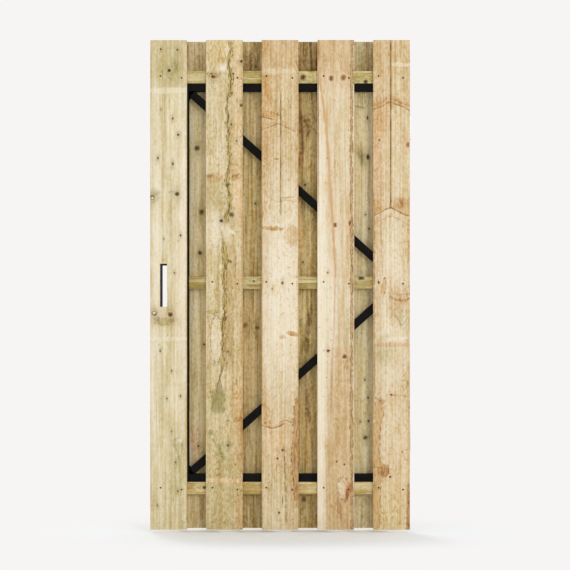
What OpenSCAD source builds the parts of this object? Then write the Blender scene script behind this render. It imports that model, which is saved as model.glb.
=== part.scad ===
// Wooden garden gate: one leaf of pine boards on a welded steel frame, hung on two pin hinges.
//
// X runs across the leaf, from its lock side to its hinge side.
// Y runs through it, from the front boards to the back boards.
// Z is up.
// The origin is the middle of the lower hinge plate, on the face that is screwed to the post.
// The modules below measure from the leaf's own corner: its lock side edge, front face and
// lower end. The module "hung" moves what they draw to the origin above.

/* [Leaf] */
// Width of the leaf over its front boards
leaf_w = 1000; // [800:1:1200]
// Height of the boards
leaf_h = 1885; // [1500:1:2262]

/* [Boards] */
// Width of every board
board_w = 142; // [110:1:175]
// Thickness of every board
board_t = 16; // [12:0.5:28]
// Chamfer along the long edges of boards and battens
arris = 1.5; // [0.5:0.1:3]

/* [Steel frame] */
// Depth of the frame between the front and the back boards
frame_depth = 40; // [30:1:60]
// Width of an upright, seen from the front
upright_w = 30; // [20:1:50]
// Height of the top and bottom rail
rail_h = 30; // [20:1:50]
// Height of the frame's lower end above the lower end of the boards
frame_foot = 183; // [120:1:300]
// Height of the boards above the frame's upper end
frame_head = 166; // [120:1:300]
// From the lock side edge of the leaf to the outside of its upright
lock_side_inset = 119; // [95:1:160]
// From the hinge side edge of the leaf to the outside of its upright
hinge_side_inset = 51; // [48:1:80]
// Small chamfer that stands for the rounded corners of the tubes
tube_corner = 2; // [0.5:0.1:4]

/* [Braces] */
// Width of a brace, seen from the front
brace_w = 30; // [20:1:45]
// Depth of a brace, from the back of the front boards
brace_depth = 30; // [20:1:34]
// Height of a corner gusset along the upright
gusset_h = 32; // [26:1:60]
// Width of a corner gusset along the rail
gusset_w = 26; // [22:1:60]
// Thickness of a corner gusset
gusset_t = 4; // [3:0.5:6]

/* [Battens] */
// Height of the wooden battens
batten_h = 48; // [35:1:70]
// From each edge of the leaf to the end of the top and bottom battens
batten_inset = 15; // [12:1:38]

/* [Lock slot and lock box] */
// From the lock side edge of the leaf to the slot in the first board
slot_inset = 38; // [25:1:50]
// Height of the slot's lower end above the lower end of the boards
slot_foot = 858; // [700:1:1000]
// Width of the slot
slot_w = 27; // [18:1:32]
// Height of the slot
slot_h = 166; // [120:1:180]
// How far the slot in the steel box is shifted towards the frame, and down
box_slot_shift = 7; // [0:1:10]
// From the lock side edge of the leaf to the outside of the lock box
box_inset = 8; // [4:1:20]
// Steel above and below the slot in the lock box
box_land = 17; // [15:1:30]
// Thickness of the lock box's plates
plate_t = 3; // [2:0.5:4]
// Width of the opening that a mortise lock is pushed in through
mouth_w = 24; // [18:1:26]
// Steel left above and below that opening
mouth_land = 14; // [12:1:20]
// Diameter of the two tapped holes for the lock's front plate
lock_screw_d = 4.2; // [3:0.1:6]

/* [Hinges] */
// Height of the lower hinge's middle above the lower end of the boards
lower_hinge_z = 351; // [250:1:500]
// Height of the upper hinge's middle below the upper end of the boards
upper_hinge_drop = 334; // [250:1:500]
// Diameter of the hinge pin
pin_d = 16; // [12:1:20]
// Height of the pin above the eye
pin_tip = 6; // [3:1:15]
// Gap all round the pin in the eye's bore
pin_play = 0.05; // [0.02:0.01:0.1]
// Thickness of the eye's ring round its bore
eye_wall = 6; // [4:0.5:8]
// Height of the eye
eye_h = 28; // [24:1:40]
// Diameter of the eye bolt's shank
shank_d = 16; // [12:1:16]
// Width of the lock nut across its flats
nut_af = 24; // [19:1:27]
// Thickness of the lock nut
nut_t = 8; // [6:0.5:13]
// Gap between the eye and the hinge plate
eye_gap = 5; // [5:0.5:8]
// Gap between the edge of the front boards and the face of the post
post_gap = 3; // [2:0.5:12]
// Gap between the back of the front boards and the hinge plate
plate_gap = 5; // [5:0.5:10]
// Width of a hinge plate
hinge_plate_w = 36; // [32:1:40]
// Height of a hinge plate
hinge_plate_h = 100; // [80:1:160]
// Thickness of a hinge plate
hinge_plate_t = 5; // [4:0.5:8]
// Height of the block that carries the pin
block_h = 14; // [10:1:25]
// Width of that block
block_w = 20; // [18:1:24]
// Diameter of the screw holes in a hinge plate
screw_d = 7; // [4:0.5:9]
// Screw holes' spacing across a hinge plate
screw_dy = 20; // [16:1:24]
// Screw holes' spacing up a hinge plate
screw_dz = 76; // [64:1:136]

/* [Hidden] */
$fn = 48;
cut = 1; // how far a cutting shape runs past the face it cuts

front_count = 5;
back_count = front_count - 1;
heights = ["lower", "upper"];

front_pine = [0.88, 0.81, 0.66];
back_pine = [0.72, 0.65, 0.47];
batten_pine = [0.66, 0.66, 0.47];
black_steel = [0.09, 0.09, 0.1];
zinc = [0.62, 0.63, 0.65];

// Boards
board_pitch = (leaf_w - board_w) / (front_count - 1);
frame_y = board_t;
back_y = frame_y + frame_depth;

// Steel frame: its inner faces and its middle
frame_bottom = frame_foot;
frame_top = leaf_h - frame_head;
inner_left = lock_side_inset + upright_w;
inner_right = leaf_w - hinge_side_inset - upright_w;
inner_bottom = frame_bottom + rail_h;
inner_top = frame_top - rail_h;
frame_mid_z = (frame_bottom + frame_top) / 2;

// A brace starts in the corner of the frame, and its inner edge ends where the middle batten
// meets the hinge side upright
brace_run = inner_right - inner_left;
brace_rise = frame_mid_z - batten_h / 2 - inner_bottom;
brace_reach = norm([brace_run, brace_rise]);
brace_angle = atan2(brace_rise, brace_run) - asin(brace_w / 2 / brace_reach);
// Its square end touches the upright and the rail with its two corners, or stays clear of one
brace_start = brace_w / 2 * max(tan(brace_angle), 1 / tan(brace_angle));

// Lock box
box_left = box_inset;
box_right = lock_side_inset;
window_x = slot_inset + box_slot_shift;
window_z = slot_foot - box_slot_shift;
box_bottom = window_z - box_land;
box_h = slot_h + 2 * box_land;
mouth_h = box_h - 2 * mouth_land;
lock_screw_dz = box_h - plate_t - mouth_land;

// Hinges: the post's face, the hinge plate and the pin's axis
post_x = leaf_w + post_gap;
plate_y = frame_y + plate_gap + hinge_plate_w / 2;
eye_r = pin_d / 2 + pin_play + eye_wall;
pin_x = post_x - hinge_plate_t - eye_gap - eye_r;
pin_y = frame_y + frame_depth / 2;
upright_outside = leaf_w - hinge_side_inset;
upper_hinge_z = leaf_h - upper_hinge_drop;

function hinge_z(h) = h == "lower" ? lower_hinge_z : upper_hinge_z;

module hung() {
    translate([-post_x, -plate_y, -lower_hinge_z]) children();
}

// A bar's section with its four corners taken off
module section(w, d, c) {
    polygon([
        [c, 0], [w - c, 0], [w, c], [w, d - c],
        [w - c, d], [c, d], [0, d - c], [0, c]
    ]);
}

// A bar that stands up, with its lower corner at the origin
module upright_bar(w, d, h, c) {
    linear_extrude(h) section(w, d, c);
}

// A bar that lies along X, with its lower corner at the origin
module level_bar(length, d, h, c) {
    rotate([90, 0, 90]) linear_extrude(length) section(d, h, c);
}

// What is drawn on X and Z stands up and gets its thickness towards the back
module standing_plate(t) {
    rotate([90, 0, 0]) mirror([0, 0, 1]) linear_extrude(t) children();
}

module board(x, y) {
    translate([x, y, 0]) upright_bar(board_w, board_t, leaf_h, arris);
}

module lock_slot() {
    translate([slot_inset, -cut, slot_foot]) cube([slot_w, board_t + 2 * cut, slot_h]);
}

module front_plank(i) {
    color(front_pine) hung() difference() {
        board((i - 1) * board_pitch, 0);
        if (i == 1) lock_slot();
    }
}

module back_plank(i) {
    color(back_pine) hung() board((i - 0.5) * board_pitch, back_y);
}

module long_batten(z) {
    color(batten_pine) hung() translate([batten_inset, frame_y, z])
        level_bar(leaf_w - 2 * batten_inset, frame_depth, batten_h, arris);
}

module middle_batten() {
    color(batten_pine) hung() translate([inner_left, frame_y, frame_mid_z - batten_h / 2])
        level_bar(inner_right - inner_left, frame_depth, batten_h, arris);
}

module frame_upright(x) {
    color(black_steel) hung() translate([x, frame_y, frame_bottom])
        upright_bar(upright_w, frame_depth, frame_top - frame_bottom, tube_corner);
}

module frame_rail(z) {
    color(black_steel) hung() translate([inner_left, frame_y, z])
        level_bar(inner_right - inner_left, frame_depth, rail_h, tube_corner);
}

// The upper brace and gusset are the lower ones turned over the frame's middle
module at_height(h) {
    if (h == "lower") children();
    else translate([0, 0, 2 * frame_mid_z]) mirror([0, 0, 1]) children();
}

// The brace's four corners: its square end in the frame's corner, then its mitred end on the
// upright, from its outer edge to the batten
module brace_outline() {
    along = [cos(brace_angle), sin(brace_angle)];
    across = [-sin(brace_angle), cos(brace_angle)];
    start = brace_start * along;
    outer_end = brace_run * tan(brace_angle) - brace_w / 2 / cos(brace_angle);
    translate([inner_left, inner_bottom]) polygon([
        start - brace_w / 2 * across,
        [brace_run, outer_end],
        [brace_run, brace_rise],
        start + brace_w / 2 * across
    ]);
}

module brace(h) {
    color(black_steel) hung() at_height(h) translate([0, frame_y, 0])
        standing_plate(brace_depth) brace_outline();
}

module gusset(h) {
    color(black_steel) hung() at_height(h)
        translate([inner_left, frame_y + brace_depth, inner_bottom])
            standing_plate(gusset_t) polygon([[0, 0], [gusset_w, 0], [0, gusset_h]]);
}

// One side of the lock box, with the slot that lets a spindle and a cylinder through
module lock_box_side(y) {
    color(black_steel) hung() difference() {
        translate([box_left, y, box_bottom]) cube([box_right - box_left, plate_t, box_h]);
        translate([window_x, y - cut, window_z]) cube([slot_w, plate_t + 2 * cut, slot_h]);
    }
}

module lock_box_cover(z) {
    color(black_steel) hung() translate([box_left + plate_t, frame_y + plate_t, z])
        cube([box_right - box_left - plate_t, frame_depth - 2 * plate_t, plate_t]);
}

module lock_box_edge() {
    color(black_steel) hung() difference() {
        translate([box_left, frame_y + plate_t, box_bottom])
            cube([plate_t, frame_depth - 2 * plate_t, box_h]);
        translate([box_left - cut, pin_y - mouth_w / 2, box_bottom + mouth_land])
            cube([plate_t + 2 * cut, mouth_w, mouth_h]);
        for (side = [-1, 1])
            translate([box_left - cut, pin_y, box_bottom + box_h / 2 + side * lock_screw_dz / 2])
                rotate([0, 90, 0]) cylinder(d = lock_screw_d, h = plate_t + 2 * cut);
    }
}

module at_hinge(h) {
    hung() translate([pin_x, pin_y, hinge_z(h)]) children();
}

// Eye bolt: the shank runs from the upright into the ring's wall
module hinge_eye(h) {
    shank = pin_x - upright_outside - (eye_r - eye_wall / 2);
    color(zinc) at_hinge(h) difference() {
        union() {
            translate([0, 0, -eye_h / 2]) cylinder(r = eye_r, h = eye_h);
            translate([upright_outside - pin_x, 0, 0]) rotate([0, 90, 0])
                cylinder(d = shank_d, h = shank);
        }
        translate([0, 0, -eye_h / 2 - cut])
            cylinder(d = pin_d + 2 * pin_play, h = eye_h + 2 * cut);
    }
}

module hinge_nut(h) {
    color(zinc) at_hinge(h) translate([upright_outside - pin_x, 0, 0]) rotate([0, 90, 0])
        difference() {
            cylinder(d = nut_af / cos(30), h = nut_t, $fn = 6);
            translate([0, 0, -cut]) cylinder(d = shank_d + 2 * pin_play, h = nut_t + 2 * cut);
        }
}

module hinge_pin(h) {
    chamfer = pin_d / 8;
    color(zinc) at_hinge(h) translate([0, 0, -eye_h / 2]) {
        cylinder(d = pin_d, h = eye_h + pin_tip - chamfer);
        translate([0, 0, eye_h + pin_tip - chamfer])
            cylinder(d1 = pin_d, d2 = pin_d - 2 * chamfer, h = chamfer);
    }
}

// The plate is screwed to the post, and its block carries the pin under the eye
module hinge_plate(h) {
    plate_x = post_x - hinge_plate_t;
    block_x = pin_x - block_w / 2;
    color(zinc) hung() translate([0, 0, hinge_z(h)]) difference() {
        union() {
            translate([plate_x, plate_y - hinge_plate_w / 2, -hinge_plate_h / 2])
                cube([hinge_plate_t, hinge_plate_w, hinge_plate_h]);
            translate([block_x, pin_y - block_w / 2, -eye_h / 2 - block_h])
                cube([post_x - block_x - hinge_plate_t / 2, block_w, block_h]);
        }
        for (dy = [-0.5, 0.5], dz = [-0.5, 0.5])
            translate([plate_x - cut, plate_y + dy * screw_dy, dz * screw_dz])
                rotate([0, 90, 0]) cylinder(d = screw_d, h = hinge_plate_t + 2 * cut);
    }
}

for (i = [1:front_count]) front_plank(i);
for (i = [1:back_count]) back_plank(i);
long_batten(frame_top);  // top_batten
middle_batten();
long_batten(frame_bottom - batten_h);  // bottom_batten
frame_upright(lock_side_inset);  // lock_side_upright
frame_upright(inner_right);  // hinge_side_upright
frame_rail(inner_top);  // top_rail
frame_rail(frame_bottom);  // bottom_rail
lock_box_side(frame_y);  // lock_box_front
lock_box_side(back_y - plate_t);  // lock_box_back
lock_box_cover(box_bottom + box_h - plate_t);  // lock_box_top
lock_box_cover(box_bottom);  // lock_box_bottom
lock_box_edge();
for (h = heights) brace(h);
for (h = heights) gusset(h);
for (h = heights) hinge_eye(h);
for (h = heights) hinge_nut(h);
for (h = heights) hinge_pin(h);
for (h = heights) hinge_plate(h);
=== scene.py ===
# %% [markdown]
# # A wooden garden gate
# The real gate is one leaf: five pine boards in front, four behind them over the gaps, and
# between the two rows a welded frame of black steel tube and three pine battens.
# The measured model already fixes every size and place. This script dresses that model:
# the wood is modelled again with rounded arrises, drying cracks, screw holes and a pine
# that has its rings, knots and stains, and the steel gets its powder coat, welds and zinc.

# %% The measured model, loaded as a fixed frame
import math

import bpy
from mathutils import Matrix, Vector


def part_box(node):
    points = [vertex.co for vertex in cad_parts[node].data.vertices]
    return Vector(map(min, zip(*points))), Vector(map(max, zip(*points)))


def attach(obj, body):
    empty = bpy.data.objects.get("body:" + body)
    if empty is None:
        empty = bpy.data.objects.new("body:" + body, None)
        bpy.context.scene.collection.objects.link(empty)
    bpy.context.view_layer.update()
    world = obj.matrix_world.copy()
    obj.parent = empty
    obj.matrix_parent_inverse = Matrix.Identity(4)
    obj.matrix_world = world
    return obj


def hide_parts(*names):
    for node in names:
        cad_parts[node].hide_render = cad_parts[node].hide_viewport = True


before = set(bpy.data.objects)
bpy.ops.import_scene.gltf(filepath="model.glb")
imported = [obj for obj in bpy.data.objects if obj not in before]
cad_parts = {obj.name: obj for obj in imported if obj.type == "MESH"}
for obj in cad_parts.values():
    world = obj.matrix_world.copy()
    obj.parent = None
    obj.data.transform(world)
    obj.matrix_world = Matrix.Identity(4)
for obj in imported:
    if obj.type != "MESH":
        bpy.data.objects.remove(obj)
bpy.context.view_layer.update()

# %% [markdown]
# ## Where things are
# A gate is set out with a rule from one corner of the leaf: so far across, so far in, so
# far up, in millimetres. The helper `at` turns such a place into Blender's metres. The
# corner itself comes from the boxes of the measured model, so nothing is placed by eye.

# %% The corner of the leaf, and places measured from it
MM = 0.001
corner, far_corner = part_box("front_plank_1")
BOARD_W, BOARD_T, BOARD_H = ((far_corner - corner) / MM)[:]


def at(across, deep, up):
    """A place on the leaf, in millimetres from its corner, as a point in metres."""
    return corner + Vector((across, deep, up)) * MM


def span(node):
    """The lowest and highest corner of a node, in millimetres from the leaf's corner."""
    low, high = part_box(node)
    return (low - corner) / MM, (high - corner) / MM


FRONT = [f"front_plank_{i}" for i in range(1, 6)]
BACK = [f"back_plank_{i}" for i in range(1, 5)]
print("board", [round(v, 1) for v in (BOARD_W, BOARD_T, BOARD_H)])

# %% [markdown]
# ## The camera
# The gate is seen square on, from far away with a long lens, so that its uprights stay
# parallel. The camera stands in front of the middle of the leaf at half its height.

# %% Camera
EYE_X, EYE_Z, EYE_AWAY = 519, 942, 7400
camera_data = bpy.data.cameras.new("camera")
camera = bpy.data.objects.new("camera", camera_data)
bpy.context.scene.collection.objects.link(camera)
camera.location = at(EYE_X, -EYE_AWAY, EYE_Z)
camera.rotation_euler = (math.radians(90), 0, 0)
camera_data.lens = 121.5
camera_data.sensor_width = 36
camera_data.clip_end = 200
bpy.context.scene.camera = camera
print("camera at", [round(v, 3) for v in camera.location])

# %% [markdown]
# ## Light and ground
# A gate in a catalogue stands in an even white room with one soft lamp to the right. The
# world gives the even light, and one large lamp gives the narrow shadow that each front
# board throws into the gap on its left. A second, weaker lamp stands behind the gate, for
# whoever walks round it. View transform Standard keeps the colours as they are written.

# %% Colours as they are read off a paint chart
def paint(red, green, blue):
    """A colour written as 0 to 255, as the linear colour that Blender works with."""
    channels = [v / 255 for v in (red, green, blue)]
    linear = [v / 12.92 if v <= 0.04045 else ((v + 0.055) / 1.055) ** 2.4 for v in channels]
    return (*linear, 1.0)


BACKDROP = paint(247, 245, 244)
scene = bpy.context.scene
scene.view_settings.view_transform = "Standard"
print("backdrop", [round(v, 3) for v in BACKDROP])


# %% A node tree, with short calls that add a node
class Desk:
    """A node tree on the work desk. Each call adds a node and returns its output."""

    def __init__(self, tree):
        self.tree = tree

    def add(self, kind, feeds=None, out=0, **settings):
        node = self.tree.nodes.new(kind)
        for name, value in settings.items():
            setattr(node, name, value)
        for name, value in (feeds or {}).items():
            if isinstance(value, bpy.types.NodeSocket):
                self.tree.links.new(value, node.inputs[name])
            else:
                node.inputs[name].default_value = value
        return node if out is None else node.outputs[out]

    def math(self, operation, *feeds):
        return self.add("ShaderNodeMath", dict(enumerate(feeds)), operation=operation)

    def times(self, first, second):
        return self.math("MULTIPLY", first, second)

    def plus(self, first, second):
        return self.math("ADD", first, second)

    def minus(self, first, second):
        return self.math("SUBTRACT", first, second)

    def vector(self, operation, *feeds, out=0):
        return self.add("ShaderNodeVectorMath", dict(enumerate(feeds)), out=out,
                        operation=operation)

    def smooth(self, value, start, end, low=0.0, high=1.0):
        """Low before start, high after end, and an even slope between them."""
        feeds = {"Value": value, "From Min": start, "From Max": end, "To Min": low, "To Max": high}
        return self.add("ShaderNodeMapRange", feeds, interpolation_type="SMOOTHSTEP")

    def fall(self, value, start, end):
        """One before start, nothing after end, and an even slope between them."""
        return self.smooth(value, start, end, 1.0, 0.0)

    def between(self, value, low, high, fade):
        """One between low and high, fading out over the last stretch at both ends."""
        start = self.smooth(value, low, self.plus(low, fade))
        return self.times(start, self.fall(value, self.minus(high, fade), high))

    def mix(self, share, first, second):
        """A colour between two colours."""
        feeds = {0: share, 6: first, 7: second}
        return self.add("ShaderNodeMix", feeds, out=2, data_type="RGBA")

    def noise(self, point, stretch, detail=2.0, rough=0.5, out=0):
        """Noise whose grain is one over stretch long on each axis."""
        place = self.vector("MULTIPLY", point, stretch)
        feeds = {"Vector": place, "Scale": 1.0, "Detail": detail, "Roughness": rough}
        return self.add("ShaderNodeTexNoise", feeds, out=out, noise_dimensions="3D")

    def jitter(self, point, stretch, detail, reach, share):
        """A push to any side that changes from place to place, up to half of reach times share."""
        push = self.vector("SUBTRACT", self.noise(point, stretch, detail, out=1), (0.5, 0.5, 0.5))
        feeds = {0: push, "Scale": self.times(reach, share)}
        return self.add("ShaderNodeVectorMath", feeds, operation="SCALE")

    def part(self, point, axis):
        """One part of a vector: how far it reaches along an axis."""
        return self.vector("DOT_PRODUCT", point, axis, out="Value")


# %% The even room
def make_world():
    world = bpy.data.worlds.new("even_room")
    world.use_nodes = True
    world.node_tree.nodes.clear()
    desk = Desk(world.node_tree)
    rays = desk.add("ShaderNodeLightPath", out=None).outputs
    seen = desk.math("MAXIMUM", rays["Is Camera Ray"], rays["Is Glossy Ray"])
    seen = desk.math("MAXIMUM", seen, rays["Is Transmission Ray"])
    light = desk.add("ShaderNodeBackground", {"Color": (1, 1, 1, 1), "Strength": ROOM_LIGHT})
    view = desk.add("ShaderNodeBackground", {"Color": BACKDROP, "Strength": 1.0})
    both = desk.add("ShaderNodeMixShader", {0: seen, 1: light, 2: view})
    desk.add("ShaderNodeOutputWorld", {"Surface": both}, out=None)
    return world


ROOM_LIGHT = 0.8
scene.world = make_world()


# %% The two lamps
LEAF_MIDDLE = at(500, 30, EYE_Z)


def add_lamp(name, bearing, rise, away, size, level):
    """A square lamp that faces the leaf. Level is what it adds to a white board."""
    turn, lift = math.radians(bearing), math.radians(rise)
    toward = Vector(
        (math.sin(turn) * math.cos(lift), -math.cos(turn) * math.cos(lift), math.sin(lift)))
    data = bpy.data.lights.new(name, "AREA")
    data.shape = "SQUARE"
    data.size = size
    data.energy = level * math.pi**2 * away**2 / abs(toward.y)
    lamp = bpy.data.objects.new(name, data)
    scene.collection.objects.link(lamp)
    lamp.location = LEAF_MIDDLE + toward * away
    lamp.rotation_euler = toward.to_track_quat("Z", "Y").to_euler()
    return lamp


add_lamp("key_lamp", bearing=22, rise=11, away=8.0, size=1.6, level=0.185)
add_lamp("rear_lamp", bearing=205, rise=25, away=8.0, size=3.0, level=0.25)


# %% Working on one thing at a time
def deselect():
    if bpy.context.object and bpy.context.object.mode != "OBJECT":
        bpy.ops.object.mode_set(mode="OBJECT")
    bpy.ops.object.select_all(action="DESELECT")


def take(piece):
    """Only this piece is selected, and it is the one that operators work on."""
    deselect()
    piece.select_set(True)
    bpy.context.view_layer.objects.active = piece


def added(name):
    """The primitive that was just added, named, with its place put into its mesh."""
    piece = bpy.context.object
    piece.name = piece.data.name = name
    bpy.ops.object.transform_apply(location=True, rotation=True, scale=True)
    return piece


def pick(piece, test, kind="FACE"):
    """Edit mode on a piece, with only the faces, edges or vertices selected that pass."""
    take(piece)
    mesh = piece.data
    for element in (*mesh.polygons, *mesh.edges, *mesh.vertices):
        element.select = False
    chosen = {"FACE": mesh.polygons, "EDGE": mesh.edges, "VERT": mesh.vertices}[kind]
    count = 0
    for element in chosen:
        if test(element):
            element.select = True
            count += 1
    bpy.ops.object.mode_set(mode="EDIT")
    bpy.ops.mesh.select_mode(type=kind)
    return count


def pick_all(piece):
    """Edit mode on a piece, with everything selected."""
    take(piece)
    bpy.ops.object.mode_set(mode="EDIT")
    bpy.ops.mesh.select_all(action="SELECT")


def done(piece):
    bpy.ops.object.mode_set(mode="OBJECT")
    return piece


def twin(piece):
    """A copy with a mesh of its own."""
    copy = piece.copy()
    copy.data = piece.data.copy()
    scene.collection.objects.link(copy)
    return copy


def new_material(name):
    """A material with an empty node tree, and the desk to fill it at."""
    material = bpy.data.materials.new(name)
    material.use_nodes = True
    material.node_tree.nodes.clear()
    return material, Desk(material.node_tree)


def wear(piece, material):
    piece.data.materials.clear()
    piece.data.materials.append(material)
    return piece


def fit(piece, material, body, slot, *nodes):
    """Gives a piece its material and body, and puts it in place of its nodes. The slot is not
    used.
    """
    take(piece)
    bpy.ops.object.shade_smooth_by_angle(angle=math.radians(35))
    wear(piece, material)
    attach(piece, body)
    if nodes:
        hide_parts(*nodes)
    return piece


# %% [markdown]
# ## The floor
# The floor is a large disc just under the leaf. Close to the gate it is a plain matt floor
# that takes the gate's shadow; further off it fades into the backdrop, so that no edge and
# no horizon shows. Away from the camera's own rays it stays matt, so it still throws light
# back up on the boards.

# %% Floor
FLOOR_GAP = 10
FLOOR_RADIUS = 9.0
FLOOR_LIFT = 0.1
FADE_START, FADE_END = 0.30, 0.62  # how far from the gate the floor fades, in metres
FLOOR_PALE, FLOOR_GREY = paint(236, 239, 240), paint(218, 221, 222)
floor_centre = at(EYE_X, 36, -FLOOR_GAP)
deselect()
bpy.ops.mesh.primitive_circle_add(
    vertices=96, radius=FLOOR_RADIUS, fill_type="NGON", location=floor_centre)
floor = added("floor")


def make_floor():
    material, desk = new_material("pale_floor")
    place = desk.add("ShaderNodeTexCoord", out="Object")
    from_gate = desk.vector("SUBTRACT", place, tuple(floor_centre))
    squeezed = desk.vector("MULTIPLY", from_gate, (0.55, 1.0, 0.0))
    away = desk.vector("LENGTH", squeezed, out="Value")
    grain = desk.noise(place, (40.0, 40.0, 40.0))
    near = desk.fall(away, FADE_START, FADE_END)
    rays = desk.add("ShaderNodeLightPath", out=None).outputs
    seen = desk.math("MAXIMUM", rays["Is Camera Ray"], rays["Is Glossy Ray"])
    tone = desk.mix(desk.times(grain, 0.03), FLOOR_PALE, FLOOR_GREY)
    matt = desk.add("ShaderNodeBsdfDiffuse", {"Color": tone})
    own_light = desk.times(seen, FLOOR_LIFT)
    lift = desk.add("ShaderNodeEmission", {"Color": BACKDROP, "Strength": own_light})
    lit = desk.add("ShaderNodeAddShader", {0: matt, 1: lift})
    clear = desk.add("ShaderNodeEmission", {"Color": BACKDROP, "Strength": 1.0})
    faded = desk.times(desk.minus(1.0, near), seen)
    both = desk.add("ShaderNodeMixShader", {0: faded, 1: lit, 2: clear})
    desk.add("ShaderNodeOutputMaterial", {"Surface": both}, out=None)
    return material


wear(floor, make_floor())
print("floor is", FLOOR_GAP, "mm under the leaf")

# %% [markdown]
# ## Pine: shader node groups
# Sawn pine is a slice of a tree. Its rings are long cones round the pith, so the pattern on
# a face, an edge and an end grain all come from one thing: how far a point is from the pith.
# That is why the wood is a solid pattern, and not a picture on each face. Each effect is a
# shader node group with millimetres as inputs, so that every board can have its own values.
# The point that they all read is (across the board, into it, up it).


# %% Making a node group
NUMBER, VECTOR = "NodeSocketFloat", "NodeSocketVector"


def new_group(name, inputs, outputs):
    """An empty shader node group, from its inputs with their usual values, and its outputs.

    Returns the tree, its desk, the inputs by name, and a call that gives an output its value.
    """
    tree = bpy.data.node_groups.new(name, "ShaderNodeTree")
    for title, value in inputs.items():
        kind = VECTOR if isinstance(value, tuple) else NUMBER
        socket = tree.interface.new_socket(title, in_out="INPUT", socket_type=kind)
        socket.default_value = value
    for title in outputs:
        tree.interface.new_socket(title, in_out="OUTPUT", socket_type=NUMBER)
    desk = Desk(tree)
    given = desk.add("NodeGroupInput", out=None).outputs
    result = desk.add("NodeGroupOutput", out=None).inputs

    def give(title, value):
        tree.links.new(value, result[title])

    return tree, desk, given, give


def use(desk, tree, **feeds):
    """A node group placed in a material. Returns its outputs by name."""
    node = desk.add("ShaderNodeGroup", out=None, node_tree=tree)
    for name, value in feeds.items():
        socket = node.inputs[name.replace("_", " ").capitalize()]
        if isinstance(value, bpy.types.NodeSocket):
            desk.tree.links.new(value, socket)
        else:
            socket.default_value = value
    return node.outputs


# %% Growth rings: pale spring wood that ends in a dark line of autumn wood
ACROSS, INTO, UP = (1, 0, 0), (0, 1, 0), (0, 0, 1)


def make_rings():
    tree, desk, given, give = new_group(
        "Growth rings",
        {"Point": (0, 0, 0), "Pith": (70, 60, 0), "Spacing": 5.0, "Lean": 0.0, "Push": 0.0,
         "Wander": 8.0}, ["Late", "Fibre", "Figure"])
    point = given["Point"]
    offset = desk.vector("SUBTRACT", point, given["Pith"])
    deep, up = desk.part(offset, INTO), desk.part(offset, UP)
    across = desk.minus(desk.part(offset, ACROSS), desk.times(up, given["Lean"]))
    slow = desk.minus(desk.noise(point, (0.013, 0.013, 0.0017)), 0.5)
    quick = desk.minus(desk.noise(point, (0.06, 0.06, 0.008)), 0.5)
    radius = desk.math("SQRT", desk.plus(desk.times(across, across), desk.times(deep, deep)))
    radius = desk.plus(radius, desk.times(slow, given["Wander"]))
    radius = desk.plus(radius, desk.times(quick, 3.0))
    radius = desk.plus(radius, given["Push"])
    years = desk.math("DIVIDE", radius, given["Spacing"])
    uneven = desk.add("ShaderNodeTexNoise",
                      {"W": desk.times(years, 0.45), "Scale": 1.0, "Detail": 1.0},
                      noise_dimensions="1D")
    years = desk.plus(years, desk.times(uneven, 1.6))
    part = desk.math("FRACT", years)
    late = desk.times(desk.smooth(part, 0.3, 0.85), desk.fall(part, 0.9, 1.0))
    weight = desk.smooth(uneven, 0.35, 0.65, 0.45, 1.0)
    give("Late", desk.times(late, weight))
    give("Fibre", desk.noise(point, (0.28, 0.28, 0.006), 4.0, 0.68))
    give("Figure", desk.noise(point, (0.055, 0.03, 0.0022), 2.0))
    return tree


RINGS = make_rings()


# %% A knot: the foot of a branch, cut across
def make_knot():
    tree, desk, given, give = new_group(
        "Knot", {"Point": (0, 0, 0), "Centre": (0, 0, 0), "Radius": 8.0, "Tall": 1.0},
        ["Out", "Halo"])
    radius = given["Radius"]
    offset = desk.vector("SUBTRACT", given["Point"], given["Centre"])
    ragged = desk.jitter(given["Point"], (0.14, 0.05, 0.12), 2.0, radius, 1.1)
    size = desk.add("ShaderNodeCombineXYZ",
                    {0: radius, 1: 1.0, 2: desk.times(radius, given["Tall"])})
    radii = desk.vector("DIVIDE", desk.vector("ADD", offset, ragged), size)
    flat = desk.vector("MULTIPLY", radii, (1, 0, 1))
    give("Out", desk.vector("LENGTH", flat, out="Value"))
    oval = desk.vector("MULTIPLY", radii, (0.56, 0, 0.3))
    far = desk.part(oval, oval)
    give("Halo", desk.math("EXPONENT", desk.times(far, -1.0)))
    return tree


def make_knot_face():
    tree, desk, given, give = new_group(
        "Knot face", {"Out": 9.0, "Dark": 0.5}, ["Core", "Shade", "Rim", "Pale"])
    out = given["Out"]
    give("Core", desk.fall(out, 0.65, 1.0))
    heart = desk.smooth(out, 0.2, 0.9, 1.0, 0.4)
    rings = desk.math("MULTIPLY_ADD", desk.math("SINE", desk.times(out, 13.0)), 0.12, 0.9)
    shade = desk.times(desk.times(heart, rings), given["Dark"])
    give("Shade", desk.math("POWER", shade, 0.55))
    rim = desk.times(desk.smooth(out, 0.5, 0.8), desk.fall(out, 0.9, 1.5))
    give("Rim", desk.times(rim, given["Dark"]))
    pale = desk.times(desk.smooth(out, 1.1, 1.4), desk.fall(out, 1.4, 2.0))
    give("Pale", pale)
    return tree


KNOT_FACE = make_knot_face()
KNOT = make_knot()


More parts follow.
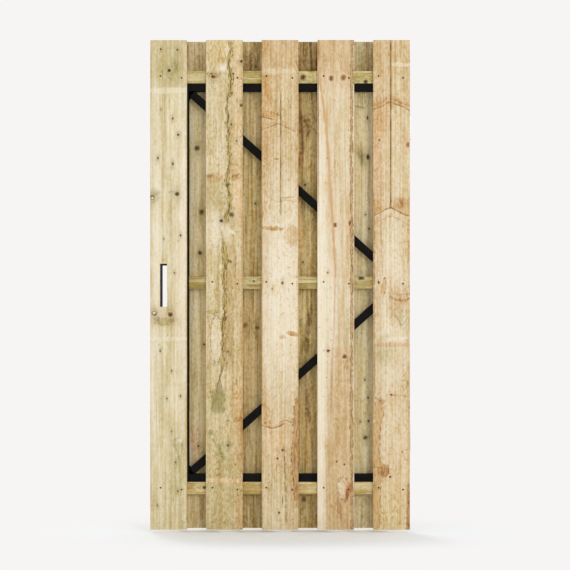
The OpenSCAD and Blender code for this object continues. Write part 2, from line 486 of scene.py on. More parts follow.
# %% A soft patch: a stain, a streak or a pale place, as an oval at any angle
def make_patch():
    tree, desk, given, give = new_group(
        "Soft patch",
        {"Point": (0, 0, 0), "Centre": (0, 0, 0), "Half": (10, 1, 10), "Turn": 0.0, "Soft": 0.5,
         "Ragged": 3.0}, ["Mask", "Edge"])
    offset = desk.vector("SUBTRACT", given["Point"], given["Centre"])
    ragged = desk.jitter(given["Point"], (0.07, 0.03, 0.035), 4.0, given["Ragged"], 2.0)
    turned = desk.add("ShaderNodeVectorRotate",
                      {"Vector": desk.vector("ADD", offset, ragged), "Angle": given["Turn"]},
                      rotation_type="Y_AXIS")
    oval = desk.vector("DIVIDE", turned, given["Half"])
    flat = desk.vector("LENGTH", desk.vector("MULTIPLY", oval, (1, 0, 1)), out="Value")
    mask = desk.fall(flat, desk.minus(1.0, given["Soft"]), desk.plus(1.0, given["Soft"]))
    give("Mask", mask)
    rim = desk.math("ABSOLUTE", desk.minus(flat, 1.0))
    give("Edge", desk.fall(rim, 0.02, 0.16))
    return tree


PATCH = make_patch()


# %% A seam: a dark line up the board, where it has cracked or where bark is caught in it
def make_seam():
    tree, desk, given, give = new_group(
        "Seam",
        {"Point": (0, 0, 0), "Off": 0.0, "Foot": 0.0, "Top": 1900.0, "Width": 3.0, "Ragged": 2.0,
         "Least": 0.35}, ["Line", "Side"])
    point = given["Point"]
    up = desk.part(point, UP)
    sway = desk.minus(desk.noise(point, (0.02, 0.02, 0.045), 3.0, 0.6), 0.5)
    off = desk.math("ABSOLUTE",
                    desk.plus(given["Off"], desk.times(sway, desk.times(given["Ragged"], 2.0))))
    thick = desk.smooth(desk.noise(point, (0.004, 0.004, 0.021), 2.0), 0.3, 0.7, given["Least"],
                        1.5)
    half = desk.times(thick, desk.times(given["Width"], 0.5))
    line = desk.fall(off, desk.times(half, 0.6), desk.math("MULTIPLY_ADD", half, 1.2, 0.3))
    ends = desk.between(up, given["Foot"], given["Top"], 25.0)
    give("Line", desk.times(line, ends))
    side = desk.math("EXPONENT", desk.math("DIVIDE", desk.times(off, -0.45), given["Width"]))
    give("Side", desk.times(side, ends))
    return tree


SEAM = make_seam()


# %% An arch: where the rings run over in a point, as in the flame of flat sawn wood
def make_arch():
    tree, desk, given, give = new_group(
        "Arch",
        {"Point": (0, 0, 0), "Apex": (0, 0, 0), "Slope": 1.0, "Round": 10.0, "Half": 200.0,
         "Thick": 3.0, "Reach": 30.0}, ["Line", "Above"])
    offset = desk.vector("SUBTRACT", given["Point"], given["Apex"])
    across, up = desk.part(offset, ACROSS), desk.part(offset, UP)
    sway = desk.minus(desk.noise(given["Point"], (0.03, 0.02, 0.02), 3.0), 0.5)
    up = desk.math("MULTIPLY_ADD", sway, 22.0, up)
    soft = given["Round"]
    bow = desk.minus(
        desk.math("SQRT", desk.plus(desk.times(across, across), desk.times(soft, soft))), soft)
    above = desk.plus(up, desk.times(bow, given["Slope"]))
    side = desk.math("ABSOLUTE", across)
    fade = desk.fall(side, desk.times(given["Half"], 0.7), given["Half"])
    line = desk.fall(desk.math("ABSOLUTE", above), desk.times(given["Thick"], 0.25),
                     given["Thick"])
    give("Line", desk.times(line, fade))
    glow = desk.times(desk.smooth(above, -2.0, 1.0), desk.fall(above, 0.0, given["Reach"]))
    give("Above", desk.times(glow, fade))
    return tree


ARCH = make_arch()


# %% Bark: a ragged strip beside a line, speckled, with a dark outline
def make_bark():
    tree, desk, given, give = new_group(
        "Bark strip",
        {"Point": (0, 0, 0), "Off": 0.0, "Left": 4.0, "Right": 4.0, "Foot": 0.0, "Top": 1900.0,
         "Ragged": 3.0}, ["Inside", "Outline", "Speck"])
    point = given["Point"]
    jag = desk.minus(desk.noise(point, (0.05, 0.02, 0.05), 4.0, 0.65), 0.5)
    off = desk.math("MULTIPLY_ADD", jag, desk.times(given["Ragged"], 3.0), given["Off"])
    swell = desk.smooth(desk.noise(point, (0.002, 0.002, 0.016), 3.0), 0.3, 0.7, 0.35, 1.5)
    to_left = desk.math("MULTIPLY_ADD", given["Left"], swell, off)
    to_right = desk.minus(desk.times(given["Right"], swell), off)
    inner = desk.math("MINIMUM", to_left, to_right)
    up = desk.part(point, UP)
    ends = desk.between(up, given["Foot"], given["Top"], 20.0)
    give("Inside", desk.times(desk.smooth(inner, -0.8, 1.2), ends))
    near = desk.fall(desk.math("ABSOLUTE", inner), 0.4, 2.6)
    give("Outline", desk.times(near, ends))
    speck = desk.noise(point, (0.13, 0.1, 0.035), 3.0, 0.65)
    give("Speck", desk.smooth(speck, 0.4, 0.66))
    return tree


BARK = make_bark()


# %% Mottle: the small uneven patches that saw, glue and impregnation leave on pine
def make_mottle():
    tree, desk, given, give = new_group(
        "Mottle", {"Point": (0, 0, 0), "Cloudy": 0.35, "Gritty": 0.4, "Lined": 0.5},
        ["Depth", "Grit", "Streak", "Speck"])
    point = given["Point"]
    cloud = desk.smooth(desk.noise(point, (0.03, 0.03, 0.011), 3.0, 0.6), 0.3, 0.7, -0.5, 0.5)
    grit = desk.smooth(desk.noise(point, (0.1, 0.1, 0.06), 4.0, 0.7), 0.34, 0.66, -0.5, 0.5)
    streak = desk.smooth(desk.noise(point, (0.085, 0.05, 0.003), 3.0, 0.6), 0.3, 0.7)
    speck = desk.noise(point, (0.15, 0.1, 0.08), 4.0, 0.7)
    depth = desk.math("MULTIPLY_ADD", cloud, given["Cloudy"], 1.0)
    depth = desk.math("MULTIPLY_ADD", grit, given["Gritty"], depth)
    depth = desk.math("MULTIPLY_ADD", desk.minus(streak, 0.5), given["Lined"], depth)
    give("Depth", depth)
    give("Grit", desk.plus(grit, 0.5))
    give("Streak", streak)
    give("Speck", desk.smooth(speck, 0.66, 0.7))
    return tree


MOTTLE = make_mottle()


# %% Loops: thin lines where the rings come up to the face at a slant, here and there
def make_loops():
    tree, desk, given, give = new_group(
        "Ring loops", {"Point": (0, 0, 0), "Crowd": 9.0, "Spread": 0.5}, ["Line", "Hook"])
    point = given["Point"]
    field = desk.noise(point, (0.022, 0.015, 0.006), 2.0, 0.5)
    part = desk.math("FRACT", desk.times(field, given["Crowd"]))
    line = desk.fall(desk.math("ABSOLUTE", desk.minus(part, 0.5)), 0.04, 0.2)
    place = desk.noise(point, (0.02, 0.02, 0.007), 1.0)
    limit = desk.minus(0.74, desk.times(given["Spread"], 0.3))
    where = desk.smooth(place, limit, desk.plus(limit, 0.08))
    give("Line", desk.times(line, where))
    hook = desk.noise(point, (0.06, 0.04, 0.045), 3.0, 0.6)
    hook = desk.fall(desk.math("ABSOLUTE", desk.minus(hook, 0.5)), 0.006, 0.02)
    spot = desk.noise(desk.vector("ADD", point, (400, 0, 900)), (0.07, 0.04, 0.05), 1.0)
    spot = desk.smooth(spot, desk.plus(limit, 0.05), desk.plus(limit, 0.1))
    give("Hook", desk.times(hook, spot))
    return tree


LOOPS = make_loops()
print("node groups:", [g.name for g in bpy.data.node_groups])

# %% [markdown]
# ## The pine itself
# One recipe makes every piece of wood: a tone that wanders between two colours, then the
# tinted places, then rings and fibres that darken it, then the knots, cracks and bark.
# What differs from board to board is written in a card for each one, as a joiner would
# chalk it on the plank. All places are millimetres across and up the board:
#
# - pith: where the middle of the tree lay; rings, lean and wander: how far apart the rings
#   are, how they slope, and how much they wave. tone: the two colours of the bare wood.
# - patches, eyes, cover: tint, share, across, up, half width, half height, how soft, how
#   ragged, and where needed how dark the rim is and the turn. Eyes lie over the knots, and
#   cover lies over everything.
# - knots: across, up, radius, how dark, how tall.
# - arches: tint, line, glow, across, up, slope, roundness, half width, thickness, reach.
# - bark: kind, path, foot, top, width to the left and to the right, how ragged, share.
# - seams: kind, path, foot, top, width, how ragged, glow beside it.
#
# What a card leaves out gets the usual value.

# %% The colours that pine takes on, and one painted shade
TINT = {
    "cream": paint(245, 233, 208),
    "pale": paint(235, 219, 188),
    "rose": paint(233, 202, 160),
    "pink": paint(218, 168, 126),
    "tan": paint(203, 166, 112),
    "orange": paint(210, 166, 106),
    "amber": paint(190, 144, 80),
    "rust": paint(156, 98, 46),
    "resin": paint(158, 112, 56),
    "red": paint(186, 116, 84),
    "olive": paint(178, 168, 104),
    "moss": paint(126, 116, 46),
    "straw": paint(196, 176, 122),
    "flax": paint(224, 201, 146),
    "umber": paint(112, 76, 32),
    "shade": paint(112, 76, 32),  # painted shade, laid on the front face only
    "bark": paint(84, 58, 24),
    "slate": paint(120, 104, 84),
}
KNOT_PALE, KNOT_BROWN, KNOT_DARK = paint(186, 142, 92), paint(118, 86, 40), paint(46, 36, 14)
BARK_LIGHT = {"olive": paint(204, 182, 106), "brown": paint(204, 158, 100),
              "tan": paint(208, 178, 118), "wane": paint(216, 172, 108),
              "moss": paint(160, 146, 84)}
BARK_DEEP = {"olive": paint(154, 130, 60), "brown": paint(146, 98, 52), "tan": paint(156, 122, 62),
             "wane": paint(176, 132, 76), "moss": paint(112, 100, 46)}
OUTLINE = paint(100, 66, 26)
SEAM_COLOURS = {"crack": paint(74, 50, 28), "heart": paint(214, 172, 126),
                "bark": paint(92, 70, 24)}


# %% The recipe for pine
LOG_STEP = 700.0  # every material is cut from another depth of one long log


def make_pine(name, place, card):
    """A solid pine. Place is a Mapping node's location and turn, and card is the board's own."""
    material, desk = new_material(name)
    coordinates = desk.add("ShaderNodeTexCoord", out="Object")
    location, turn = place
    depth_in_log = LOG_STEP * len(bpy.data.materials)
    location = (location[0], location[1] + depth_in_log, location[2])
    pith = (card["pith"][0], card["pith"][1] + depth_in_log, 0)
    point = desk.add(
        "ShaderNodeMapping",
        {"Vector": coordinates, "Location": location, "Rotation": turn,
         "Scale": (1 / MM, 1 / MM, 1 / MM)})
    across, up = desk.part(point, ACROSS), desk.part(point, UP)

    push, nearest, dark, halo = 0.0, 9.0, 0.0, 0.0
    for where, height, radius, darkness, tall in card.get("knots", ()):
        made = use(desk, KNOT, point=point, centre=(where, 0, height), radius=radius, tall=tall)
        push = desk.math("MULTIPLY_ADD", made["Halo"], 1.8 * radius, push)
        nearest = desk.math("MINIMUM", nearest, made["Out"])
        inside = desk.math("LESS_THAN", made["Out"], 1.8)
        dark = desk.math("MAXIMUM", dark, desk.times(inside, darkness))
        halo = desk.math("MAXIMUM", halo, made["Halo"])
    knot = use(desk, KNOT_FACE, out=nearest, dark=dark)

    rings = use(desk, RINGS, point=point, pith=pith, spacing=card["rings"],
                lean=card.get("lean", 0.0), push=push, wander=card.get("wander", 10.0))
    mottle = use(desk, MOTTLE, point=point, cloudy=0.35, gritty=card.get("grit", 0.2),
                 lined=card.get("lines", 0.14))
    loops = use(desk, LOOPS, point=point, crowd=14.0, spread=card.get("loops", 0.5))
    broken = desk.smooth(mottle["Grit"], 0.1, 0.75)
    figure = desk.smooth(rings["Figure"], 0.28, 0.72)
    colour = desk.mix(figure, paint(*card["tone"][0]), paint(*card["tone"][1]))
    streaks = desk.times(mottle["Streak"], card.get("streaks", 0.3))
    colour = desk.mix(streaks, colour, TINT[card.get("streak_tint", "straw")])

    # The front face of a board: the only face that takes the painted shade.
    front = desk.fall(desk.part(point, INTO), depth_in_log + 3, depth_in_log + 12)

    def lay(colour, patches):
        """Patches laid over a colour, the largest first."""
        for patch in sorted(patches, key=lambda patch: -patch[4] * patch[5]):
            tint, share, where, height, wide, tall, soft, ragged, edge, angle = (*patch, 0, 0)[:10]
            made = use(desk, PATCH, point=point, centre=(where, 0, height), half=(wide, 1, tall),
                       turn=math.radians(angle), soft=soft,
                       ragged=min(ragged, 0.8 * min(wide, tall)))
            # Painted shade is laid on the front face only.
            if tint == "shade":
                share = desk.times(front, share)
            colour = desk.mix(desk.times(made["Mask"], share), colour, TINT[tint])
            if edge:
                edge = desk.times(made["Edge"], desk.times(broken, edge))
                colour = desk.mix(edge, colour, TINT["umber"])
        return colour

    colour = lay(colour, card.get("patches", ()))
    for tint, line, glow, where, height, slope, soft, half, thick, reach in card.get("arches", ()):
        made = use(desk, ARCH, point=point, apex=(where, 0, height), slope=slope, round=soft,
                   half=half, thick=thick, reach=reach)
        colour = desk.mix(desk.times(made["Above"], glow), colour, TINT[tint])
        colour = desk.mix(desk.times(made["Line"], line), colour, TINT["resin"])
    depth = desk.math("MULTIPLY_ADD", desk.minus(rings["Late"], 0.25), card.get("figure", 0.35),
                      mottle["Depth"])
    depth = desk.math("MULTIPLY_ADD", desk.minus(rings["Fibre"], 0.5), card.get("fibre", 0.8),
                      depth)
    depth = desk.math("MULTIPLY_ADD", loops["Line"], 0.55, depth)
    depth = desk.math("MAXIMUM", depth, 0.75)
    colour = desk.add("ShaderNodeGamma", {"Color": colour, "Gamma": depth})
    marks = desk.math("MAXIMUM", mottle["Speck"], loops["Hook"])
    colour = desk.mix(desk.times(marks, card.get("specks", 0.6)), colour,
                      TINT[card.get("speck_tint", "umber")])
    if card.get("knots"):
        colour = desk.mix(desk.times(halo, 0.5), colour, TINT[card.get("halo", "olive")])
        colour = desk.mix(desk.times(knot["Pale"], card.get("pale", 0.3)), colour, TINT["cream"])
        colour = desk.mix(desk.times(knot["Rim"], 0.5), colour, TINT["umber"])
        wood = desk.mix(desk.smooth(knot["Shade"], 0.25, 0.6), KNOT_PALE, KNOT_BROWN)
        wood = desk.mix(desk.smooth(knot["Shade"], 0.55, 0.95), wood, KNOT_DARK)
        colour = desk.mix(knot["Core"], colour, wood)
    colour = lay(colour, card.get("eyes", ()))
    relief = desk.math("MULTIPLY_ADD", rings["Late"], 0.35, desk.times(rings["Fibre"], 0.5))
    relief = desk.math("MULTIPLY_ADD", mottle["Grit"], 0.4, relief)
    relief = desk.math("MULTIPLY_ADD", knot["Core"], 0.4, relief)
    for kind, path, foot, top, left, right, ragged, share in card.get("bark", ()):
        made = use(desk, BARK, point=point, off=desk.minus(across, follow(desk, up, path)),
                   left=left, right=right, foot=foot, top=top, ragged=ragged)
        bark = desk.mix(made["Speck"], BARK_LIGHT[kind], BARK_DEEP[kind])
        colour = desk.mix(desk.times(made["Inside"], share), colour, bark)
        line = desk.times(made["Outline"], desk.times(broken, share))
        colour = desk.mix(line, colour, OUTLINE)
        relief = desk.minus(relief, desk.times(made["Inside"], made["Speck"]))
    for kind, path, foot, top, width, ragged, side in card.get("seams", ()):
        made = use(desk, SEAM, point=point, off=desk.minus(across, follow(desk, up, path)),
                   foot=foot, top=top, width=width, ragged=ragged,
                   least=0.0 if kind == "bark" else 0.35)
        colour = desk.mix(desk.times(made["Side"], side), colour, TINT["orange"])
        colour = desk.mix(made["Line"], colour, SEAM_COLOURS[kind])
        relief = desk.minus(relief, made["Line"])
    colour = lay(colour, card.get("cover", ()))
    rough = desk.smooth(rings["Late"], 0.0, 1.0, 0.72, 0.6)
    bump = desk.add("ShaderNodeBump", {"Height": relief, "Distance": 0.0005, "Strength": 0.7})
    shader = desk.add(
        "ShaderNodeBsdfPrincipled",
        {"Base Color": colour, "Roughness": rough, "Normal": bump, "Specular IOR Level": 0.3})
    desk.add("ShaderNodeOutputMaterial", {"Surface": shader}, out=None)
    return material


def follow(desk, up, path):
    """How far across a line is at each height. Path is one number, or a list of (up, across)."""
    if isinstance(path, (int, float)):
        return path
    share = desk.math("DIVIDE", up, BOARD_H)
    node = desk.add("ShaderNodeFloatCurve", {"Value": share}, out=None)
    curve = node.mapping.curves[0]
    points = sorted((height / BOARD_H, where / BOARD_W) for height, where in path)
    while len(curve.points) < len(points):
        curve.points.new(0.5, 0.5)
    for spot, (along, value) in zip(curve.points, points):
        spot.location = (along, value)
        spot.handle_type = "VECTOR"
    node.mapping.update()
    return desk.times(node.outputs[0], BOARD_W)


# %% [markdown]
# ## The cards of the front boards
# Seen from the front, from the lock side to the hinge side: a plain board with pin knots and
# the lock slot; a board with a long seam of bark; a heart board with a straight crack and
# knots cut along their length; a board with a red heart line and bark on its edge; and a
# second heart board with a crack, arches and a bark edge.

# %% Cards of the front boards
BARK_PATH = [
    (1885, 92), (1846, 97), (1786, 87), (1733, 98), (1693, 93), (1660, 84), (1620, 80), (1587, 87),
    (1564, 80), (1534, 89), (1475, 87), (1415, 92), (1375, 84), (1336, 79), (1286, 93), (1239, 91),
    (1206, 80), (1150, 70), (1080, 68), (1034, 75), (994, 69), (941, 70), (832, 72), (805, 65),
    (759, 66), (653, 66), (606, 59), (560, 49), (500, 45),
]
HEART_LINE = [
    (1885, 6), (1720, 11), (1600, 28), (1430, 44), (1250, 54), (1095, 64), (975, 70), (0, 76),
]
WANE_5 = [
    (500, 2), (480, 44), (440, 40), (400, 27), (300, 22), (262, 26), (246, 60), (222, 58),
    (200, 36), (180, 31), (90, 26), (0, 22),
]
CARD = {}
CARD["front_plank_1"] = {
    "pith": (190, 70), "rings": 12, "wander": 26, "figure": 0.25, "streaks": 0.4, "halo": "moss",
    "grit": 0.35, "fibre": 0.95, "tone": ((212, 195, 150), (238, 225, 190)), "pale": 0.3,
    "loops": 0.35,
    "patches": [
        ("orange", 0.6, 79, 832, 14, 13, 0.6, 6, 0.2),
        ("orange", 0.6, 17, 838, 12, 10, 0.5, 5, 0.3),
        ("amber", 0.5, 104, 1296, 12, 8, 0.6, 5, 0.2), ("straw", 0.6, 70, 1800, 110, 110, 0.5, 14),
        ("olive", 0.45, 82, 1762, 34, 46, 0.8, 10), ("moss", 0.3, 96, 1786, 10, 34, 0.7, 6, 0, 6),
        ("olive", 0.5, 60, 1764, 14, 12, 0.6, 5, 0.2), ("pale", 0.7, 115, 950, 26, 560, 0.9, 8),
        ("cream", 0.45, 70, 1690, 120, 12, 0.4, 2, 0.05, 1),
        ("cream", 0.4, 70, 735, 120, 9, 0.3, 2, 0.1), ("olive", 0.5, 14, 1284, 26, 22, 0.7, 5),
        ("straw", 0.25, 70, 40, 130, 170, 0.7, 14), ("tan", 0.5, 62, 800, 50, 26, 0.8, 8),
        ("cream", 0.35, 16, 1000, 20, 640, 0.8, 6),
        ("moss", 0.35, 28, 1294, 14, 6, 0.6, 5, 0.2, 24),
        ("moss", 0.3, 82, 1301, 12, 4, 0.6, 4, 0.1, 12),
        ("olive", 0.35, 100, 250, 30, 110, 0.8, 8), ("orange", 0.5, 140, 420, 6, 60, 0.7, 3),
        ("orange", 0.35, 1, 940, 3, 960, 0.6, 1), ("tan", 0.5, 141, 940, 4, 960, 0.6, 1),
        ("orange", 0.8, 51, 1038, 5, 4, 0.4, 2, 0.2),
        ("olive", 0.6, 56, 800, 34, 12, 0.6, 12, 0.35, 6),
        ("moss", 0.4, 30, 808, 10, 20, 0.6, 8, 0.3, 30),
        ("moss", 0.4, 84, 806, 6, 16, 0.6, 6, 0.3, -20),
        ("cream", 0.5, 112, 344, 9, 11, 0.5, 6, 0.5),
        ("olive", 0.5, 106, 332, 18, 20, 0.5, 8, 0.4, 10), ("pink", 0.4, 18, 1491, 6, 8, 0.6, 4),
        ("moss", 0.35, 104, 300, 4, 40, 0.7, 6, 0, 18),
        ("olive", 0.5, 122, 300, 4, 34, 0.7, 6, 0, -8),
        ("cream", 0.3, 130, 44, 10, 14, 0.5, 6, 0.4), ("cream", 0.6, 128, 1180, 14, 460, 0.8, 8),
        ("cream", 0.6, 30, 1120, 14, 420, 0.8, 6),
    ],
    "knots": [
        (74, 1768, 7, 1, 0.8), (41, 1849, 3.5, 1, 1), (105, 1847, 4, 1, 1),
        (41, 1617, 2.4, 0.4, 1), (87, 1583, 3.9, 0.7, 1.2), (108, 1520, 4.9, 0.9, 1),
        (30, 1430, 3.9, 0.7, 1.3), (87, 1408, 4.4, 0.6, 1.3), (8, 1280, 10, 0.5, 0.8),
        (104, 1292, 8, 0.8, 1), (117, 1133, 3.9, 0.7, 1.2), (53, 1119, 2.4, 0.5, 1),
        (94, 989, 3.4, 0.7, 1), (16, 832, 11, 0.4, 0.8), (78, 828, 9, 0.75, 1),
        (39, 689, 3.4, 0.8, 1), (83, 612, 3.4, 0.7, 1), (117, 515, 3.4, 0.75, 1),
        (65, 505, 3.4, 0.7, 1), (82, 378, 3.4, 0.6, 1), (98, 260, 3.9, 0.6, 1),
        (106, 149, 3.9, 0.5, 1), (28, 94, 3.4, 0.6, 1),
    ],
    "eyes": [
        ("cream", 0.95, 9, 1277, 4.5, 4, 0.3, 1, 0.9), ("cream", 0.95, 16, 834, 5, 4, 0.3, 1, 0.9),
    ],
}
CARD["front_plank_2"] = {
    "pith": (80, 34), "rings": 11, "wander": 24, "figure": 0.22, "streaks": 0.3, "grit": 0.55,
    "loops": 0.8, "tone": ((208, 186, 138), (228, 209, 168)), "speck_tint": "moss", "halo": "moss",
    "patches": [
        ("flax", 0.5, 60, 1850, 90, 60, 0.7, 10), ("pale", 0.7, 92, 1842, 12, 50, 0.6, 6),
        ("moss", 0.45, 20, 376, 9, 14, 0.5, 9, 0.4),
        ("moss", 0.4, 60, 300, 5, 30, 0.5, 9, 0.4, 24),
        ("moss", 0.35, 92, 330, 6, 14, 0.5, 8, 0.3),
        ("umber", 0.4, 18, 1362, 16, 6, 0.6, 6, 0.2, -6),
        ("umber", 0.35, 116, 1364, 14, 4, 0.6, 4, 0.2, 14),
        ("olive", 0.5, 30, 838, 28, 7, 0.4, 5, 0.3, 4),
        ("cream", 0.6, 60, 1010, 10, 14, 0.4, 4, 0.2), ("pale", 0.4, 40, 1480, 34, 230, 0.9, 10),
        ("rose", 0.6, 124, 1640, 20, 260, 0.8, 12), ("straw", 0.7, 40, 1290, 40, 60, 0.4, 6, 0.1),
        ("rose", 0.8, 122, 1270, 20, 90, 0.6, 8), ("cream", 0.55, 34, 1150, 44, 60, 0.7, 14),
        ("cream", 0.7, 92, 1150, 26, 10, 0.4, 6, 0.3, -20),
        ("rose", 0.3, 41, 735, 26, 100, 0.4, 6), ("pale", 0.7, 41, 735, 22, 96, 0.15, 7, 0.5),
        ("rose", 0.7, 70, 190, 120, 9, 0.3, 3, 0.1), ("cream", 0.7, 66, 1778, 16, 14, 0.6, 5),
        ("straw", 0.6, 70, 60, 120, 200, 0.7, 14), ("olive", 0.5, 47, 500, 30, 40, 0.7, 10),
        ("tan", 0.28, 108, 860, 38, 280, 0.7, 14), ("orange", 0.6, 122, 480, 20, 90, 0.8, 10),
        ("tan", 0.6, 139, 1100, 4, 760, 0.6, 2), ("tan", 0.7, 124, 345, 20, 120, 0.6, 8),
        ("amber", 0.6, 138, 340, 7, 130, 0.6, 3, 0.1), ("tan", 0.8, 130, 60, 14, 100, 0.6, 6),
        ("amber", 0.8, 122, 424, 18, 8, 0.4, 4, 0.3, 28),
        ("tan", 0.95, 32, 1355, 34, 15, 0.8, 10, 0.1, -6),
        ("tan", 0.95, 112, 1357, 26, 12, 0.8, 10, 0.1, 12),
        ("amber", 0.8, 28, 1748, 24, 8, 0.5, 7, 0.5, -12),
        ("amber", 0.6, 128, 1796, 12, 10, 0.6, 5, 0.2, 20),
        ("olive", 0.45, 60, 300, 22, 60, 0.7, 12, 0, 20),
    ],
    "bark": [
        ("tan", [
            (1885, 95), (1110, 88), (1060, 90), (760, 88), (600, 84), (0, 84),
        ], 600, 1110, 16, 18, 7, 0.45),
        ("olive", BARK_PATH, 560, 1890, 6.5, 8, 6.5, 0.85),
        ("moss", 47, 440, 545, 17, 19, 22, 0.6), ("moss", 51, 520, 606, 7, 8, 7, 0.6),
    ],
    "knots": [
        (103, 1755, 6, 0.95, 0.8), (30, 1742, 9, 0.5, 0.7), (137, 1803, 6, 0.8, 1),
        (137, 1634, 7, 0.6, 1), (100, 1680, 4.6, 0.85, 0.8), (98, 1560, 4.1, 0.8, 1),
        (118, 1496, 4.6, 0.5, 1), (98, 1213, 11, 0.5, 0.9), (59, 1189, 7, 0.9, 0.9),
        (85, 686, 7, 0.7, 0.8), (85, 325, 4.6, 0.7, 1.3), (62, 282, 3.6, 0.5, 1),
        (85, 420, 3.6, 0.5, 1), (84, 742, 3.6, 0.7, 0.7), (80, 640, 3.1, 0.6, 1.4),
        (90, 884, 3.6, 0.6, 1), (78, 905, 3.6, 0.7, 1),
    ],
    "seams": [("bark", BARK_PATH, 560, 1890, 2.3, 7, 0.1)],
    "cover": [
        ("pale", 0.8, 76, 1148, 15, 32, 0.6, 8), ("bark", 0.75, 84, 1327, 9, 5, 0.5, 6, 0, 34),
        ("bark", 0.75, 92, 1033, 9, 5, 0.5, 6, 0, -20),
        ("bark", 0.6, 76, 1014, 5, 13, 0.5, 6, 0, 10),
        ("bark", 0.7, 76, 812, 5, 11, 0.5, 6, 0, -30),
    ],
}
CARD["front_plank_3"] = {
    "pith": (74, 8), "rings": 10, "wander": 16, "figure": 0.3, "streaks": 0.12, "grit": 0.45,
    "loops": 0.7, "fibre": 0.65, "tone": ((208, 181, 135), (227, 205, 165)), "halo": "orange",
    "speck_tint": "rust",
    "patches": [
        ("pale", 0.4, 88, 1675, 16, 60, 0.8, 8), ("cream", 0.35, 53, 694, 16, 90, 0.8, 8),
        ("orange", 0.4, 16, 464, 16, 60, 0.8, 6), ("tan", 0.35, 124, 117, 18, 110, 0.8, 8),
        ("tan", 0.3, 16, 1060, 16, 260, 0.8, 8), ("tan", 0.4, 16, 1770, 16, 140, 0.8, 8),
        ("cream", 0.8, 70, 930, 90, 370, 0.7, 14), ("tan", 0.35, 60, 1830, 90, 90, 0.6, 10),
        ("orange", 0.9, 25, 1690, 5, 72, 0.4, 3, 0.1, 2), ("tan", 0.6, 14, 1600, 26, 280, 0.8, 8),
        ("orange", 0.6, 2, 940, 3, 960, 0.6, 1, 0.2),
        ("orange", 0.5, 140, 940, 3, 960, 0.6, 1, 0.2),
        ("orange", 0.9, 26, 1600, 38, 10, 0.35, 6, 0.5, -8),
        ("rust", 0.9, 22, 1585, 26, 3, 0.4, 3, 0, -14),
        ("amber", 0.9, 12, 1594, 16, 8, 0.4, 4, 0.3, -8),
        ("amber", 0.7, 48, 1602, 24, 2.5, 0.5, 3, 0.2, -10),
        ("orange", 0.6, 14, 1640, 3, 90, 0.5, 2, 0.3),
        ("orange", 0.8, 104, 1279, 22, 3, 0.5, 3, 0.3, 4),
        ("amber", 0.7, 57, 1427, 10, 3, 0.5, 2, 0.4),
        ("tan", 0.7, 146, 1884, 26, 34, 0.25, 4, 0.4),
        ("orange", 0.9, 42, 1160, 38, 8, 0.4, 7, 0.4, -4),
        ("amber", 0.9, 38, 1159, 20, 4, 0.5, 3, 0, -6), ("pink", 0.7, 80, 742, 14, 7, 0.5, 4, 0.2),
        ("orange", 0.95, 120, 754, 22, 8, 0.4, 5, 0.4, -14),
        ("amber", 0.8, 122, 748, 16, 2.5, 0.4, 2, 0, -10),
        ("orange", 0.9, 16, 412, 18, 14, 0.5, 7, 0.5), ("pale", 0.5, 66, 60, 60, 90, 0.7, 12),
        ("straw", 0.3, 70, 20, 120, 170, 0.7, 12), ("rose", 0.6, 62, 340, 40, 70, 0.7, 12),
        ("cream", 0.3, 70, 1765, 110, 11, 0.5, 3, 0.05), ("tan", 0.3, 112, 240, 30, 220, 0.8, 10),
        ("rose", 0.6, 108, 1135, 24, 40, 0.25, 4, 0.15),
        ("tan", 0.4, 118, 1130, 22, 40, 0.3, 4, 0.15), ("olive", 0.4, 84, 306, 26, 12, 0.6, 8),
    ],
    "arches": [
        ("orange", 0.85, 0.7, 40, 392, -0.4, 14, 56, 4.6, 18),
        ("orange", 0.8, 0.4, 98, 420, 0.3, 10, 32, 3.2, 12),
        ("tan", 0.6, 0.5, 62, 1560, 0.5, 14, 80, 3.2, 30),
        ("tan", 0.4, 0.3, 104, 1268, 0.3, 14, 60, 2, 12),
    ],
    "bark": [
        ("brown", [
            (1885, 150), (520, 150), (480, 132), (380, 122), (260, 118), (120, 132), (60, 150),
            (0, 150),
        ], 70, 520, 4, 40, 7, 0.8),
        ("olive", [(1885, 86), (330, 86), (140, 92), (0, 96)], 20, 330, 1.2, 2.5, 5, 0.55),
    ],
    "knots": [
        (80, 950, 5, 0.6, 1.4), (41, 927, 4, 0.3, 1), (61, 275, 4.5, 0.85, 1), (67, 66, 5, 0.7, 1),
        (14, 412, 7, 0.15, 1), (81, 306, 6, 0.5, 1), (18, 1594, 5, 0.1, 0.8),
    ],
    "seams": [("crack", 74, 1206, 1690, 2.4, 1.2, 0.15), ("crack", 81, 80, 142, 2, 1.5, 0.2)],
}
